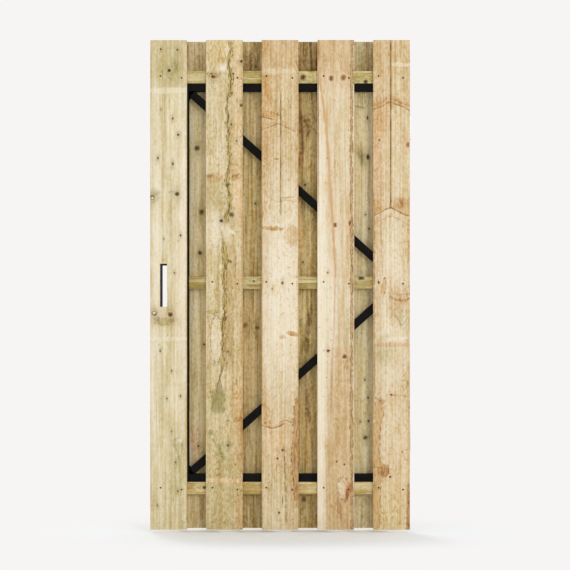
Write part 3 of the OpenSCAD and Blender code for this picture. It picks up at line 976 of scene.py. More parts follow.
CARD["front_plank_4"] = {
    "pith": (150, -30), "rings": 13, "wander": 20, "lean": -0.015, "figure": 0.28, "streaks": 0.4,
    "streak_tint": "tan", "halo": "pink", "grit": 0.35, "fibre": 0.9,
    "tone": ((212, 191, 148), (233, 215, 180)), "pale": 0.25,
    "patches": [
        ("cream", 0.35, 50, 1464, 14, 90, 0.8, 8), ("cream", 0.35, 52, 800, 14, 160, 0.8, 8),
        ("cream", 0.3, 122, 887, 12, 90, 0.8, 6), ("cream", 0.3, 16, 117, 14, 110, 0.8, 6),
        ("cream", 0.9, 12, 740, 21, 900, 0.5, 6), ("tan", 0.5, 10, 1850, 30, 60, 0.7, 6),
        ("rust", 0.8, 4, 1600, 1.8, 330, 0.6, 1, 0.3), ("rose", 0.4, 98, 160, 26, 42, 0.3, 6, 0.5),
        ("amber", 0.7, 128, 1176, 6, 26, 0.5, 4, 0.2), ("cream", 0.55, 50, 1050, 44, 260, 0.7, 10),
        ("cream", 0.45, 53, 790, 20, 120, 0.7, 8), ("pale", 0.45, 120, 800, 16, 120, 0.7, 6),
        ("pale", 0.4, 110, 1400, 26, 260, 0.8, 8), ("pale", 0.35, 86, 1620, 20, 110, 0.8, 8),
        ("tan", 0.5, 50, 1860, 100, 60, 0.6, 10), ("tan", 0.4, 92, 420, 36, 320, 0.8, 14),
        ("tan", 0.45, 70, 200, 90, 260, 0.8, 14), ("red", 0.4, 60, 700, 4, 330, 0.7, 3, 0, -2),
        ("pink", 0.7, 120, 160, 20, 30, 0.7, 8), ("tan", 0.25, 116, 1250, 22, 500, 0.8, 10),
        ("cream", 0.45, 92, 160, 17, 28, 0.5, 8, 0.35),
        ("rust", 0.7, 116, 140, 7, 34, 0.6, 7, 0.4, -18),
        ("rust", 0.45, 88, 70, 9, 60, 0.8, 6, 0, 10), ("tan", 0.5, 84, 60, 30, 90, 0.8, 10),
        ("olive", 0.4, 116, 720, 5, 130, 0.4, 6, 0.25),
    ],
    "bark": [
        ("brown", [
            (1885, 133), (1500, 130), (1100, 132), (600, 130), (0, 133),
        ], -50, 1950, 4, 5, 1.6, 0.75),
    ],
    "knots": [
        (53, 1737, 10, 0.42, 1.1), (100, 1740, 11, 0.32, 1.1), (67, 1173, 9, 0.55, 1),
        (127, 1180, 8, 0.6, 1.2), (42, 689, 7, 0.7, 0.9), (105, 667, 9, 0.55, 1),
        (104, 252, 4, 0.9, 1), (74, 263, 4, 0.9, 1), (40, 990, 3.5, 0.8, 1),
        (40, 1430, 3.5, 0.7, 1),
    ],
    "seams": [("heart", HEART_LINE, 960, 1800, 10, 2, 0.15)],
}
CARD["front_plank_5"] = {
    "pith": (68, 8), "rings": 10, "wander": 18, "figure": 0.3, "streaks": 0.2, "grit": 0.5,
    "loops": 0.7, "fibre": 0.7, "tone": ((208, 180, 134), (229, 208, 168)), "halo": "orange",
    "speck_tint": "rust",
    "patches": [
        ("amber", 0.7, 26, 488, 20, 8, 0.5, 6, 0.6, 24),
        ("amber", 0.6, 76, 520, 16, 3, 0.5, 3, 0.3, -10), ("pale", 0.35, 88, 1868, 16, 40, 0.8, 6),
        ("tan", 0.3, 72, 887, 30, 90, 0.8, 8), ("tan", 0.22, 88, 640, 18, 200, 0.8, 8),
        ("pale", 0.3, 66, 130, 26, 120, 0.8, 8), ("tan", 0.5, 24, 1100, 26, 800, 0.9, 12),
        ("pale", 0.45, 66, 1470, 36, 220, 0.8, 12), ("pale", 0.5, 60, 360, 34, 120, 0.8, 10),
        ("flax", 0.55, 66, 70, 70, 110, 0.8, 12), ("tan", 0.45, 60, 1850, 110, 60, 0.7, 10),
        ("tan", 0.5, 96, 880, 30, 70, 0.8, 12), ("orange", 0.5, 2, 1200, 3, 700, 0.6, 1, 0.1),
        ("orange", 0.5, 139, 1180, 3, 110, 0.6, 2, 0.3),
        ("rust", 0.7, 136, 70, 6, 110, 0.5, 4, 0.4),
        ("rust", 0.8, 45, 220, 15, 15, 0.4, 6, 0.6, 12),
        ("rust", 0.95, 28, 238, 38, 2.6, 0.5, 2, 0, -8),
        ("rust", 0.4, 24, 500, 14, 8, 0.5, 6, 0.3, -20),
        ("orange", 0.55, 30, 1570, 26, 66, 0.6, 14), ("pink", 0.5, 16, 1450, 14, 140, 0.7, 10),
        ("orange", 0.9, 41, 935, 8, 34, 0.3, 3, 0.9, -6),
        ("orange", 0.5, 32, 1110, 3, 120, 0.5, 5, 0.3, 2),
        ("olive", 0.4, 109, 812, 9, 34, 0.5, 8, 0.3), ("pink", 0.5, 70, 712, 110, 7, 0.3, 2, 0.15),
        ("cream", 0.75, 72, 860, 50, 380, 0.8, 10),
        ("cream", 0.5, 104, 1790, 44, 9, 0.3, 2, 0.1, -5),
        ("amber", 0.75, 118, 1256, 34, 17, 0.9, 14, 0.15, -14),
        ("orange", 0.5, 92, 1246, 18, 8, 0.8, 6, 0, 20),
        ("amber", 0.6, 20, 1236, 20, 8, 0.6, 8, 0, 8),
        ("orange", 0.5, 134, 1120, 5, 90, 0.7, 4, 0.2), ("orange", 0.5, 20, 1250, 16, 26, 0.7, 10),
        ("orange", 0.5, 60, 1650, 24, 22, 0.8, 10), ("cream", 0.5, 86, 735, 50, 8, 0.3, 3, 0.1),
        ("rose", 0.4, 96, 250, 50, 200, 0.7, 12), ("olive", 0.35, 40, 690, 40, 60, 0.7, 10),
    ],
    "arches": [
        ("tan", 0.8, 0.6, 68, 1645, 0.45, 4, 200, 3.2, 40),
        ("tan", 0.9, 0.6, 68, 1238, 0.5, 6, 200, 3.4, 40),
        ("tan", 0.4, 0.3, 68, 1660, 0.5, 6, 200, 2.6, 30),
        ("pink", 0.35, 0.3, 68, 1206, 0.55, 10, 200, 2.6, 20),
        ("orange", 0.35, 0.95, 108, 880, -0.6, 24, 50, 7, 10),
        ("orange", 0.25, 0.4, 112, 902, -0.5, 22, 50, 4, 8),
        ("tan", 0.5, 0.3, 96, 880, -2.4, 8, 30, 3, 14),
        ("olive", 0.7, 0.5, 112, 786, -2.4, 8, 24, 3.4, 14),
        ("olive", 0.5, 0.3, 80, 826, 1.6, 6, 18, 3, 10),
        ("orange", 0.4, 0.2, 98, 520, 0.3, 8, 40, 2, 8),
    ],
    "bark": [
        ("wane", WANE_5, -20, 486, 60, 1, 5.5, 0.65),
        ("brown", [(300, 30), (250, 42), (200, 38)], 200, 254, 18, 17, 8, 0.7),
        ("brown", [
            (1885, 150), (130, 150), (90, 134), (40, 130), (0, 132),
        ], -20, 120, 2, 40, 3, 0.7),
        ("brown", [(1885, 4), (1300, 3), (700, 4), (0, 4)], 480, 1300, 8, 2.5, 3, 0.5),
    ],
    "knots": [
        (66, 204, 4, 1, 1), (134, 1481, 8, 0.25, 1.5), (70, 520, 5, 0.6, 0.8),
        (24, 1500, 5, 0.4, 1), (22, 949, 3.5, 0.7, 1), (112, 300, 5, 0.1, 1),
    ],
    "seams": [("crack", 68, 1236, 1885, 2.8, 1, 0.45)],
}
print("front cards:", [len(CARD[n]["knots"]) for n in FRONT], "knots")

# %% [markdown]
# ## The cards of the back boards and battens
# The back boards are older stock, greener and more streaked, and only a strip of each shows from
# the front. Two of them have darker tones, partly as painted shade of the deep gaps, and all carry
# painted shade at their ends and beside the front boards' edges, and painted light where the gaps
# are lit. The battens are cut from heavier wood with close, straight rings, so their pattern is
# turned to run along them.

# %% Cards of the back boards and battens
OLD_STOCK = {"lines": 0.4, "fibre": 2, "grit": 0.6, "halo": "moss", "pale": 0.12}


def painted_shade_ends(top=0.5):
    """Painted shade on the front face at both ends of a back board."""
    return ("shade", top, 71, 1815, 140, 92, 0.2, 4), ("shade", 0.16, 71, 70, 140, 110, 0.3, 4)


CARD["back_plank_1"] = {
    **OLD_STOCK, "pith": (40, 60), "rings": 9, "figure": 0.35,
    "tone": ((222, 198, 148), (242, 222, 176)), "streaks": 0.4, "streak_tint": "olive",
    "patches": [
        # Painted shade: the faint umber at the foot of the right edge, the umber at the top left,
        # and both ends. Painted light: the pale strips and the broad flax strip, which lift the
        # shade of the gap.
        ("umber", 0.16, 92, 90, 16, 120, 0.8, 5), ("pale", 0.4, 62, 1080, 10, 480, 0.8, 6),
        ("pale", 0.45, 100, 1500, 9, 600, 0.8, 5), ("umber", 0.22, 38, 1780, 10, 120, 0.8, 5),
        *painted_shade_ends(0.38), ("pink", 0.5, 60, 330, 20, 70, 0.8, 12),
        ("flax", 0.6, 104, 1000, 24, 1000, 0.8, 8),
    ],
    "knots": [
        (71, 1472, 10.5, 0.7, 1), (89, 1224, 10.5, 0.55, 1.1), (82, 1067, 8.5, 0.8, 1),
        (99, 711, 4.5, 0.75, 1), (76, 318, 4.5, 0.8, 1), (20, 900, 6.5, 0.55, 1),
    ],
}
CARD["back_plank_2"] = {
    **OLD_STOCK, "pith": (70, 80), "rings": 8, "figure": 0.35,
    "tone": ((198, 171, 113), (226, 203, 149)), "streaks": 0.4, "streak_tint": "moss",
    "patches": [
        # Painted light: the two flax strips, on the right edge and at the top, which lift the
        # shade. Painted shade: both ends.
        ("flax", 0.45, 100, 1600, 9, 240, 0.8, 5), ("flax", 0.4, 62, 1866, 10, 30, 0.8, 5),
        *painted_shade_ends(), ("tan", 0.4, 60, 640, 30, 300, 0.9, 14),
    ],
    "knots": [
        (84, 1788, 4.7, 0.85, 1.8), (82, 1258, 4.7, 0.6, 1), (43, 786, 11, 0.35, 1),
        (89, 776, 9, 0.45, 1), (118, 520, 7, 0.7, 1), (62, 1690, 3.7, 0.5, 1),
    ],
}
CARD["back_plank_3"] = {
    **OLD_STOCK, "pith": (60, 40), "rings": 9, "figure": 0.4,
    "tone": ((192, 161, 100), (222, 195, 136)), "streaks": 0.5, "streak_tint": "moss",
    "wander": 22,
    "patches": [
        # Painted shade: the faint umber strips on the right edge, at 96 and 101 across, and both
        # ends.
        ("umber", 0.16, 101, 1650, 10, 280, 0.8, 5), ("umber", 0.14, 101, 300, 10, 320, 0.8, 5),
        *painted_shade_ends(), ("umber", 0.85, 50, 1488, 8, 56, 0.6, 6, 0.5),
        ("rust", 0.7, 44, 1420, 9, 34, 0.6, 6, 0.4),
        ("umber", 0.9, 64, 1578, 15, 7, 0.5, 5, 0.4, 20),
        ("umber", 0.6, 78, 1540, 3, 40, 0.6, 3, 0.2, -24), ("rust", 0.5, 40, 1620, 8, 70, 0.7, 6),
        ("umber", 0.5, 62, 1560, 20, 40, 0.6, 12), ("orange", 0.7, 42, 1180, 9, 110, 0.7, 6),
        ("umber", 0.6, 52, 1240, 9, 40, 0.6, 8), ("umber", 0.3, 96, 860, 10, 120, 0.8, 8),
        ("umber", 0.3, 60, 520, 14, 120, 0.7, 14, 0, 6), ("flax", 0.5, 48, 830, 14, 90, 0.8, 6),
        ("umber", 0.6, 74, 790, 10, 60, 0.6, 12, 0.5, -8),
        ("moss", 0.5, 54, 770, 9, 40, 0.6, 10, 0.5, 16),
        ("umber", 0.5, 62, 712, 17, 26, 0.6, 12, 0.5),
        ("umber", 0.6, 72, 470, 7, 60, 0.6, 8, 0.4, 6), ("orange", 0.4, 70, 330, 10, 160, 0.8, 10),
    ],
    "arches": [
        ("umber", 0.6, 0.4, 72, 1600, 1.1, 12, 60, 3, 30),
        ("umber", 0.6, 0.4, 72, 1560, 1.3, 12, 60, 3, 16),
    ],
    "knots": [
        (67, 690, 9, 0.35, 1), (56, 112, 11, 0.55, 1), (60, 1330, 5, 0.9, 1),
        (52, 1030, 4, 0.8, 1),
    ],
}
CARD["back_plank_4"] = {
    **OLD_STOCK, "pith": (100, 60), "rings": 8.5, "figure": 0.35,
    "tone": ((226, 208, 158), (246, 233, 194)), "streaks": 0.55, "streak_tint": "olive",
    "patches": [
        # Painted shade: the faint umber at the foot of the right edge, the slate strip on the
        # right, and both ends. Painted light: the flax strips and the two long cream strips, which
        # lift the shade of the gap.
        ("umber", 0.18, 92, 90, 16, 120, 0.8, 5), ("umber", 0.16, 68, 1675, 15, 60, 0.8, 5),
        ("cream", 0.35, 40, 1000, 10, 900, 0.8, 5), ("cream", 0.35, 100, 880, 10, 640, 0.8, 5),
        ("cream", 0.35, 80, 1233, 10, 110, 0.8, 5), *painted_shade_ends(),
        ("moss", 0.65, 64, 1440, 14, 40, 0.7, 8, 0, 14), ("slate", 0.2, 92, 900, 6, 900, 0.8, 6),
        ("flax", 0.6, 50, 1000, 20, 1000, 0.8, 8), ("flax", 0.4, 100, 1000, 14, 1000, 0.8, 8),
        ("olive", 0.4, 52, 1800, 18, 90, 0.8, 8), ("moss", 0.5, 56, 1632, 22, 4, 0.5, 4, 0.2, -14),
    ],
    "knots": [
        (90, 1438, 7.5, 0.8, 1.5), (88, 1590, 4, 0.75, 2), (80, 1215, 3.5, 0.55, 1),
        (94, 1160, 4.5, 0.7, 1), (78, 575, 4, 0.75, 1), (90, 505, 4.5, 0.75, 1),
        (92, 415, 4.5, 0.8, 1), (80, 350, 8.5, 0.65, 1), (60, 412, 3.5, 0.65, 1),
    ],
}
CARD["top_batten"] = {
    "pith": (20, 60), "rings": 7, "figure": 0.6, "tone": ((190, 170, 108), (214, 196, 138)),
    "lines": 0.5, "streaks": 0.45, "streak_tint": "olive", "specks": 0.2, "loops": 0.9,
    "grit": 0.4,
    "knots": [(24, 396, 12, 0.7, 1), (7, 155, 8, 0.95, 1), (30, 700, 5, 0.6, 1)],
}
CARD["middle_batten"] = {
    "pith": (8, 30), "rings": 8, "figure": 0.7, "tone": ((180, 158, 102), (214, 194, 144)),
    "lines": 0.5, "streaks": 0.5, "streak_tint": "olive", "wander": 30, "specks": 0.2, "grit": 0.4,
    "knots": [(42, 106, 8, 0.8, 1.6), (30, 520, 5, 0.6, 1), (6, 590, 7, 0.7, 1.6)],
}
CARD["bottom_batten"] = {
    "pith": (30, 70), "rings": 8, "figure": 0.6, "tone": ((202, 174, 116), (224, 200, 144)),
    "lines": 0.5, "streaks": 0.5, "streak_tint": "olive", "wander": 20, "specks": 0.2, "grit": 0.4,
    "patches": [
        ("orange", 0.7, 40, 640, 7, 26, 0.5, 4, 0.3, 8),
        ("orange", 0.7, 14, 400, 10, 22, 0.5, 5, 0.3, 30),
        ("orange", 0.5, 34, 440, 6, 20, 0.5, 4, 0.2, 12),
    ],
    "knots": [(26, 776, 6, 0.85, 1.4), (12, 300, 5, 0.5, 1)],
}


def upright_place(node):
    """The Mapping that puts zero in a board's own corner, in millimetres."""
    low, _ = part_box(node)
    return tuple(-low / MM), (0, 0, 0)


def level_place(node):
    """The same for a batten, whose rings run along it: up becomes across."""
    low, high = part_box(node)
    return (-low.z / MM, -low.y / MM, high.x / MM), (0, math.radians(90), 0)


# %% [markdown]
# ## Modelling a board
# A board starts as a block of its own size. Its long arrises are rounded with a bevel, as
# the planer leaves them, and its faces are cut into a grid so that a displacement can make
# them as slightly uneven as real sawn wood, always towards the inside.

# %% A block with rounded arrises and a grid on its faces
LONG = {"x": Vector((1, 0, 0)), "y": Vector((0, 1, 0)), "z": Vector((0, 0, 1))}


def solid(name, low, high):
    """A plain block between two corners."""
    deselect()
    bpy.ops.mesh.primitive_cube_add(size=1, location=(low + high) / 2, scale=high - low)
    return added(name)


def along(piece, axis):
    """A test for the edges that run along an axis."""
    def test(edge):
        a, b = (piece.data.vertices[i].co for i in edge.vertices)
        return abs((b - a).normalized().dot(axis)) > 0.999

    return test


def upright_edges(piece, limit):
    """A test for the upright edges whose place across is less than a limit."""
    upright = along(piece, LONG["z"])
    points = piece.data.vertices
    return lambda edge: upright(edge) and all(points[i].co.x < limit for i in edge.vertices)


def round_off(piece, test, offset, segments, **settings):
    """Bevels the edges that pass the test, by so many millimetres."""
    pick(piece, test, "EDGE")
    bpy.ops.mesh.bevel(offset=offset * MM, segments=segments, **settings)
    return done(piece)


def block(name, node, grain, cuts, arris=1.8):
    """A piece of wood as large as its node, with its length along grain."""
    piece = solid(name, *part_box(node))
    round_off(piece, along(piece, LONG[grain]), arris, 3, profile=0.6)
    if cuts:
        pick(piece, along(piece, LONG[grain]), "EDGE")
        bpy.ops.mesh.subdivide(number_cuts=cuts)
        done(piece)
    return piece


uneven = bpy.data.textures.new("sawn_unevenness", "CLOUDS")
uneven.noise_scale = 0.09
uneven.noise_depth = 2


def weather(piece, depth=0.7):
    """The broad faces get slightly uneven, only inwards."""
    group = piece.vertex_groups.new(name="faces")
    group.add([v.index for v in piece.data.vertices], 1.0, "REPLACE")
    take(piece)
    rough = piece.modifiers.new("uneven", "DISPLACE")
    rough.texture = uneven
    rough.texture_coords = "LOCAL"
    rough.mid_level = 1.0
    rough.strength = depth * MM
    bpy.ops.object.modifier_apply(modifier=rough.name)
    return piece


def round_ends(piece, axis, offset=0.8, segments=2, both=True):
    """The edges round both ends, or only the high one, are broken a little."""
    spots = [vertex.co.dot(axis) for vertex in piece.data.vertices]
    ends = (min(spots), max(spots)) if both else (max(spots),)

    def at_end(edge):
        pair = [piece.data.vertices[i].co.dot(axis) for i in edge.vertices]
        return any(all(abs(spot - end) < 1e-5 for spot in pair) for end in ends)

    return round_off(piece, at_end, offset, segments)


# %% [markdown]
# ## Cracks, screw holes and the slot
# These are cut with booleans, as a chisel, a drill and a router would cut them. A crack's
# cutter is a thin blade: a diamond drawn at its foot and extruded from point to point up
# the crack. A screw's cutter is a short plug, slightly wider than the screw's head.

# %% Blades, rods and booleans
def blade(name, board, path, width, depth):
    """A thin diamond that follows a path of (up, across) on the front of a board."""
    low, _ = span(board)
    route = [at(low.x + across, low.y, up) for up, across in sorted(path)]
    deselect()
    bpy.ops.mesh.primitive_circle_add(vertices=4, radius=depth * MM, fill_type="NGON",
                                      location=route[0])
    piece = added(name)
    pick_all(piece)
    bpy.ops.transform.resize(value=(width / 2 / depth, 1, 1))
    for here, there in zip(route, route[1:]):
        bpy.ops.mesh.extrude_region_move(TRANSFORM_OT_translate={"value": there - here})
    bpy.ops.mesh.select_all(action="SELECT")
    bpy.ops.mesh.normals_make_consistent(inside=False)
    return done(piece)


def cut(piece, cutter, operation="DIFFERENCE"):
    """Takes the cutter's shape out of the piece, and puts the cutter away."""
    take(piece)
    tool = piece.modifiers.new("cut", "BOOLEAN")
    tool.operation, tool.solver, tool.object = operation, "EXACT", cutter
    bpy.ops.object.modifier_apply(modifier=tool.name)
    bpy.data.objects.remove(cutter)
    return piece


def join(name, pieces):
    deselect()
    for piece in pieces:
        piece.select_set(True)
    bpy.context.view_layer.objects.active = pieces[0]
    bpy.ops.object.join()
    pieces[0].name = pieces[0].data.name = name
    return pieces[0]


QUARTER = math.radians(90)
TURN = {"x": (0, QUARTER, 0), "y": (QUARTER, 0, 0), "z": (0, 0, 0)}


def rod(name, radius, spot, length, axis="z", sides=48):
    """A round bar along an axis, with its middle at a spot."""
    deselect()
    bpy.ops.mesh.primitive_cylinder_add(
        vertices=sides, radius=radius * MM, depth=length * MM, location=spot, rotation=TURN[axis])
    return added(name)


# %% Where the screws are
BATTENS = ("top_batten", "middle_batten", "bottom_batten")
INSETS = ((40, 21), (25, 21), (18, 24), (24, 21), (21, 27))  # from a front board's two edges
BACK_INSET = 24
HEAD_R = 3.2


def screw_rows():
    """The screws of every board, as (across, up, facing), in millimetres. Facing -1 is front."""
    rows = {}
    heights = {node: (span(node)[0].z + span(node)[1].z) / 2 for node in BATTENS}
    for number, board in enumerate(FRONT):
        for node, height in heights.items():
            if node == "middle_batten" and number == 0:
                continue
            for side, inset in enumerate(INSETS[number]):
                across = inset if side == 0 else BOARD_W - inset
                rows.setdefault(board, []).append((across, height + (3, -4)[side], -1))
    for board in BACK:
        for node, height in heights.items():
            for side in (0, 1):
                across = BACK_INSET if side == 0 else BOARD_W - BACK_INSET
                rows.setdefault(board, []).append((across, height + (-5, 4)[side], 1))
    return rows


SCREWS = screw_rows()
print("screws:", sum(len(rows) for rows in SCREWS.values()))

# %% [markdown]
# ## Making the boards
# Every board is made the same way, and then gets its own holes and cracks. The bark seam of
# the second board has opened in six places.

# %% The boards
SLOT_X, SLOT_Z, SLOT_W, SLOT_H = 38, 858, 27, 166
SLOT_ROUND = 1.5
PLUG_R, PLUG_LONG = HEAD_R + 0.6, 4.8
BARK_CRACKS = ((1870, 1640), (1600, 1480), (1440, 1330), (1260, 1190), (1040, 920), (840, 640))
CRACKS = {
    "front_plank_2": [
        ([(h, w) for h, w in BARK_PATH if top > h > foot], 1.6, 2.5)
        for top, foot in BARK_CRACKS
    ],
    "front_plank_3": [([(1210, 74), (1400, 73.4), (1560, 74.6), (1688, 74)], 1.6, 5.0)],
    "front_plank_5": [([(1240, 68), (1430, 67.2), (1700, 68.6), (1890, 68)], 2.0, 6.0)],
}


def make_board(node, slot):
    low, high = span(node)
    board = block(node + "_pine", node, "z", cuts=31)
    round_ends(board, LONG["z"])
    weather(board)
    facing = SCREWS[node][0][2]
    face_y = low.y if facing < 0 else high.y
    plugs = [
        rod(f"plug_{i}", PLUG_R, at(low.x + across, face_y, up), PLUG_LONG, "y", sides=16)
        for i, (across, up, _) in enumerate(SCREWS[node])
    ]
    cut(board, join("plugs", plugs))
    for number, (path, width, depth) in enumerate(CRACKS.get(node, ())):
        cut(board, blade(f"blade_{number}", node, path, width, depth))
    if node == "front_plank_1":
        cut(board, slot_cutter())
    pine = make_pine(node + "_pine", upright_place(node), CARD[node])
    return fit(board, pine, "leaf", slot, node)


def slot_cutter():
    """The slot in the first board, as long and wide as the lock box's own window."""
    cutter = solid("slot_cutter", at(SLOT_X, -BOARD_T, SLOT_Z),
                   at(SLOT_X + SLOT_W, 2 * BOARD_T, SLOT_Z + SLOT_H))
    return round_off(cutter, along(cutter, LONG["y"]), SLOT_ROUND, 3)


boards = [make_board(node, "front_pine") for node in FRONT]
boards += [make_board(node, "back_pine") for node in BACK]
print("boards:", [(b.name, len(b.data.polygons)) for b in boards])


# %% The battens
def make_batten(node):
    batten = block(node + "_pine", node, "x", cuts=21)
    round_ends(batten, LONG["x"])
    weather(batten, 0.5)
    pine = make_pine(node + "_pine", level_place(node), CARD[node])
    return fit(batten, pine, "leaf", "batten_pine", node)


battens = [make_batten(node) for node in BATTENS]
print("battens:", [b.name for b in battens])

# %% [markdown]
# ## Metal
# The frame is powder coated: a matt black skin with a very fine orange peel. The lock box is the
# same black steel, but its coat is painted a lighter grey: painted sheen. The hinges are zinc
# plated: a pale, slightly cloudy metal. The screws in the wood are dark brown and dull: partly
# weathered steel, partly painted shade of their countersinks.

# %% Powder coat, zinc, and screw steel that is partly painted shade
def make_skin():
    """Fine unevenness of a coat or a metal: slow clouds and small dimples."""
    tree, desk, given, give = new_group(
        "Fine skin", {"Point": (0, 0, 0), "Cloud size": 40.0, "Dimple size": 1.0},
        ["Cloud", "Dimple"])

    def sized(size, detail):
        place = desk.vector("DIVIDE", given["Point"],
                            desk.add("ShaderNodeCombineXYZ", {0: size, 1: size, 2: size}))
        return desk.add("ShaderNodeTexNoise", {"Vector": place, "Scale": 1.0, "Detail": detail},
                        noise_dimensions="3D")

    give("Cloud", sized(given["Cloud size"], 3.0))
    give("Dimple", sized(given["Dimple size"], 1.0))
    return tree


SKIN = make_skin()


def make_metal(name, low, high, metal, shine, rough, cloud, dimple, height):
    """A metal or its coat, between two colours. Cloud, dimple and height are millimetres."""
    material, desk = new_material(name)
    point = desk.add(
        "ShaderNodeMapping",
        {"Vector": desk.add("ShaderNodeTexCoord", out="Object"), "Location": tuple(-corner / MM),
         "Scale": (1 / MM, 1 / MM, 1 / MM)})
    skin = use(desk, SKIN, point=point, cloud_size=cloud, dimple_size=dimple)
    colour = desk.mix(desk.smooth(skin["Cloud"], 0.35, 0.65), paint(*low), paint(*high))
    roughness = desk.smooth(skin["Cloud"], 0.3, 0.7, rough[0], rough[1])
    bump = desk.add("ShaderNodeBump",
                    {"Height": skin["Dimple"], "Distance": height * MM, "Strength": 0.5})
    shader = desk.add(
        "ShaderNodeBsdfPrincipled",
        {"Base Color": colour, "Metallic": metal, "Roughness": roughness, "Normal": bump,
         "Specular IOR Level": shine})
    desk.add("ShaderNodeOutputMaterial", {"Surface": shader}, out=None)
    return material


powder = make_metal("black_powder_coat", (10, 10, 9), (20, 19, 17), metal=0.0, shine=0.07,
                    rough=(0.5, 0.62), cloud=60.0, dimple=0.9, height=0.15)
zinc = make_metal("zinc_plate", (178, 181, 186), (206, 207, 208), metal=1.0, shine=0.5,
                  rough=(0.3, 0.5), cloud=12.0, dimple=0.6, height=0.08)
# The screws' dark brown is partly weathering and partly painted shade of their countersinks.
screw_weathered_and_shaded = make_metal("screw_weathered_and_painted_shade", (76, 54, 28), (108, 82, 48), metal=0.0, shine=0.0,
                  rough=(0.5, 0.7), cloud=4.0, dimple=0.5, height=0.05)
for name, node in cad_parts.items():
    if "hinge_" in name and "upright" not in name:
        wear(node, zinc)
    elif not node.hide_render:
        wear(node, powder)
print("metals:", powder.name, zinc.name)


# %% [markdown]
# ## The steel frame
# The frame is cut from rectangular tube with rounded corners and welded together. Each brace
# starts square in a corner of the frame and ends in a mitre against the hinge side upright,
# so it is modelled as a straight bar that is turned to its slope and then sawn off by a
# bisection. A small triangular plate closes each corner that a brace starts in.

# %% Tubes, braces and gussets
def saw(piece, spot, away):
    """Saws the piece through at a spot and drops the part that lies away."""
    pick_all(piece)
    bpy.ops.mesh.bisect(plane_co=spot, plane_no=away, use_fill=True, clear_outer=True)
    return done(piece)


inner_left, inner_right = span("lock_side_upright")[1].x, span("hinge_side_upright")[0].x
inner_foot, inner_head = span("bottom_rail")[1].z, span("top_rail")[0].z
batten_foot = span("middle_batten")[0].z
BAR = 30
TUBE_ARRIS, BRACE_ARRIS, GUSSET_ARRIS = 3.2, 2.6, 0.7
FRAME_Y = span("top_rail")[0].y
run, rise = inner_right - inner_left, batten_foot - inner_foot
slope = math.atan2(rise, run) - math.asin(BAR / 2 / math.hypot(run, rise))
# A brace's square end starts so far along its line that it just fills the frame's corner.
first = BAR / 2 * max(math.tan(slope), 1 / math.tan(slope))
tubes = []
for node, grain in (("lock_side_upright", "z"), ("hinge_side_upright", "z"),
                    ("top_rail", "x"), ("bottom_rail", "x")):
    tube = block(node + "_tube", node, grain, cuts=0, arris=TUBE_ARRIS)
    tubes.append(fit(tube, powder, "leaf", "black_steel", node))
print("tubes:", len(tubes), "slope of a brace:", round(math.degrees(slope), 2))


def make_brace(node, corner_z, up):
    """A brace from the frame's corner at this height. Up is 1, or -1 for a brace that falls."""
    line = Vector((math.cos(slope), 0, up * math.sin(slope)))
    length = run / math.cos(slope) + BAR
    middle = at(inner_left, FRAME_Y + BAR / 2, corner_z) + line * (first + length / 2) * MM
    deselect()
    bpy.ops.mesh.primitive_cube_add(size=1, location=middle, rotation=(0, -up * slope, 0),
                                    scale=Vector((length, BAR, BAR)) * MM)
    brace = added(node + "_tube")
    round_off(brace, along(brace, line), BRACE_ARRIS, 3)
    saw(brace, at(inner_right, 0, 0), (1, 0, 0))
    return fit(brace, powder, "leaf", "black_steel", node)


def make_gusset(node, corner_z, up):
    """A plate with three corners, sawn from a block with four."""
    low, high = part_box(node)
    gusset = solid(node + "_plate", low, high)
    wide, tall = (high - low).x, (high - low).z
    saw(gusset, at(inner_left, 0, corner_z) + Vector((wide, 0, 0)), (tall, 0, up * wide))
    round_off(gusset, lambda edge: True, GUSSET_ARRIS, 2)
    return fit(gusset, powder, "leaf", "black_steel", node)


corners = (("lower", inner_foot, 1), ("upper", inner_head, -1))
braces = [make_brace(name + "_brace", height, up) for name, height, up in corners]
gussets = [make_gusset(name + "_gusset", height, up) for name, height, up in corners]
print("braces:", [b.name for b in braces], "gussets:", [g.name for g in gussets])

# %% [markdown]
# ## The lock box
# A mortise lock slides in through a mouth in the narrow edge of this box, and a long slot in
# both sides leaves room for the spindle and the cylinder. It is folded from one sheet, so its
# two outer corners are round: a bevelled block, hollowed out, with its openings cut after.

# %% The lock box
SHEET = 3 * MM
WINDOW_X = 45  # where the window starts, across the leaf
MARGIN = 17 * MM  # from the box's ends to the window; a screw hole sits halfway
MOUTH_MARGIN = 14 * MM
MOUTH_HALF_DEPTH = 12 * MM
BOX_ROUND, LOCK_SCREW_R = 4, 2.1


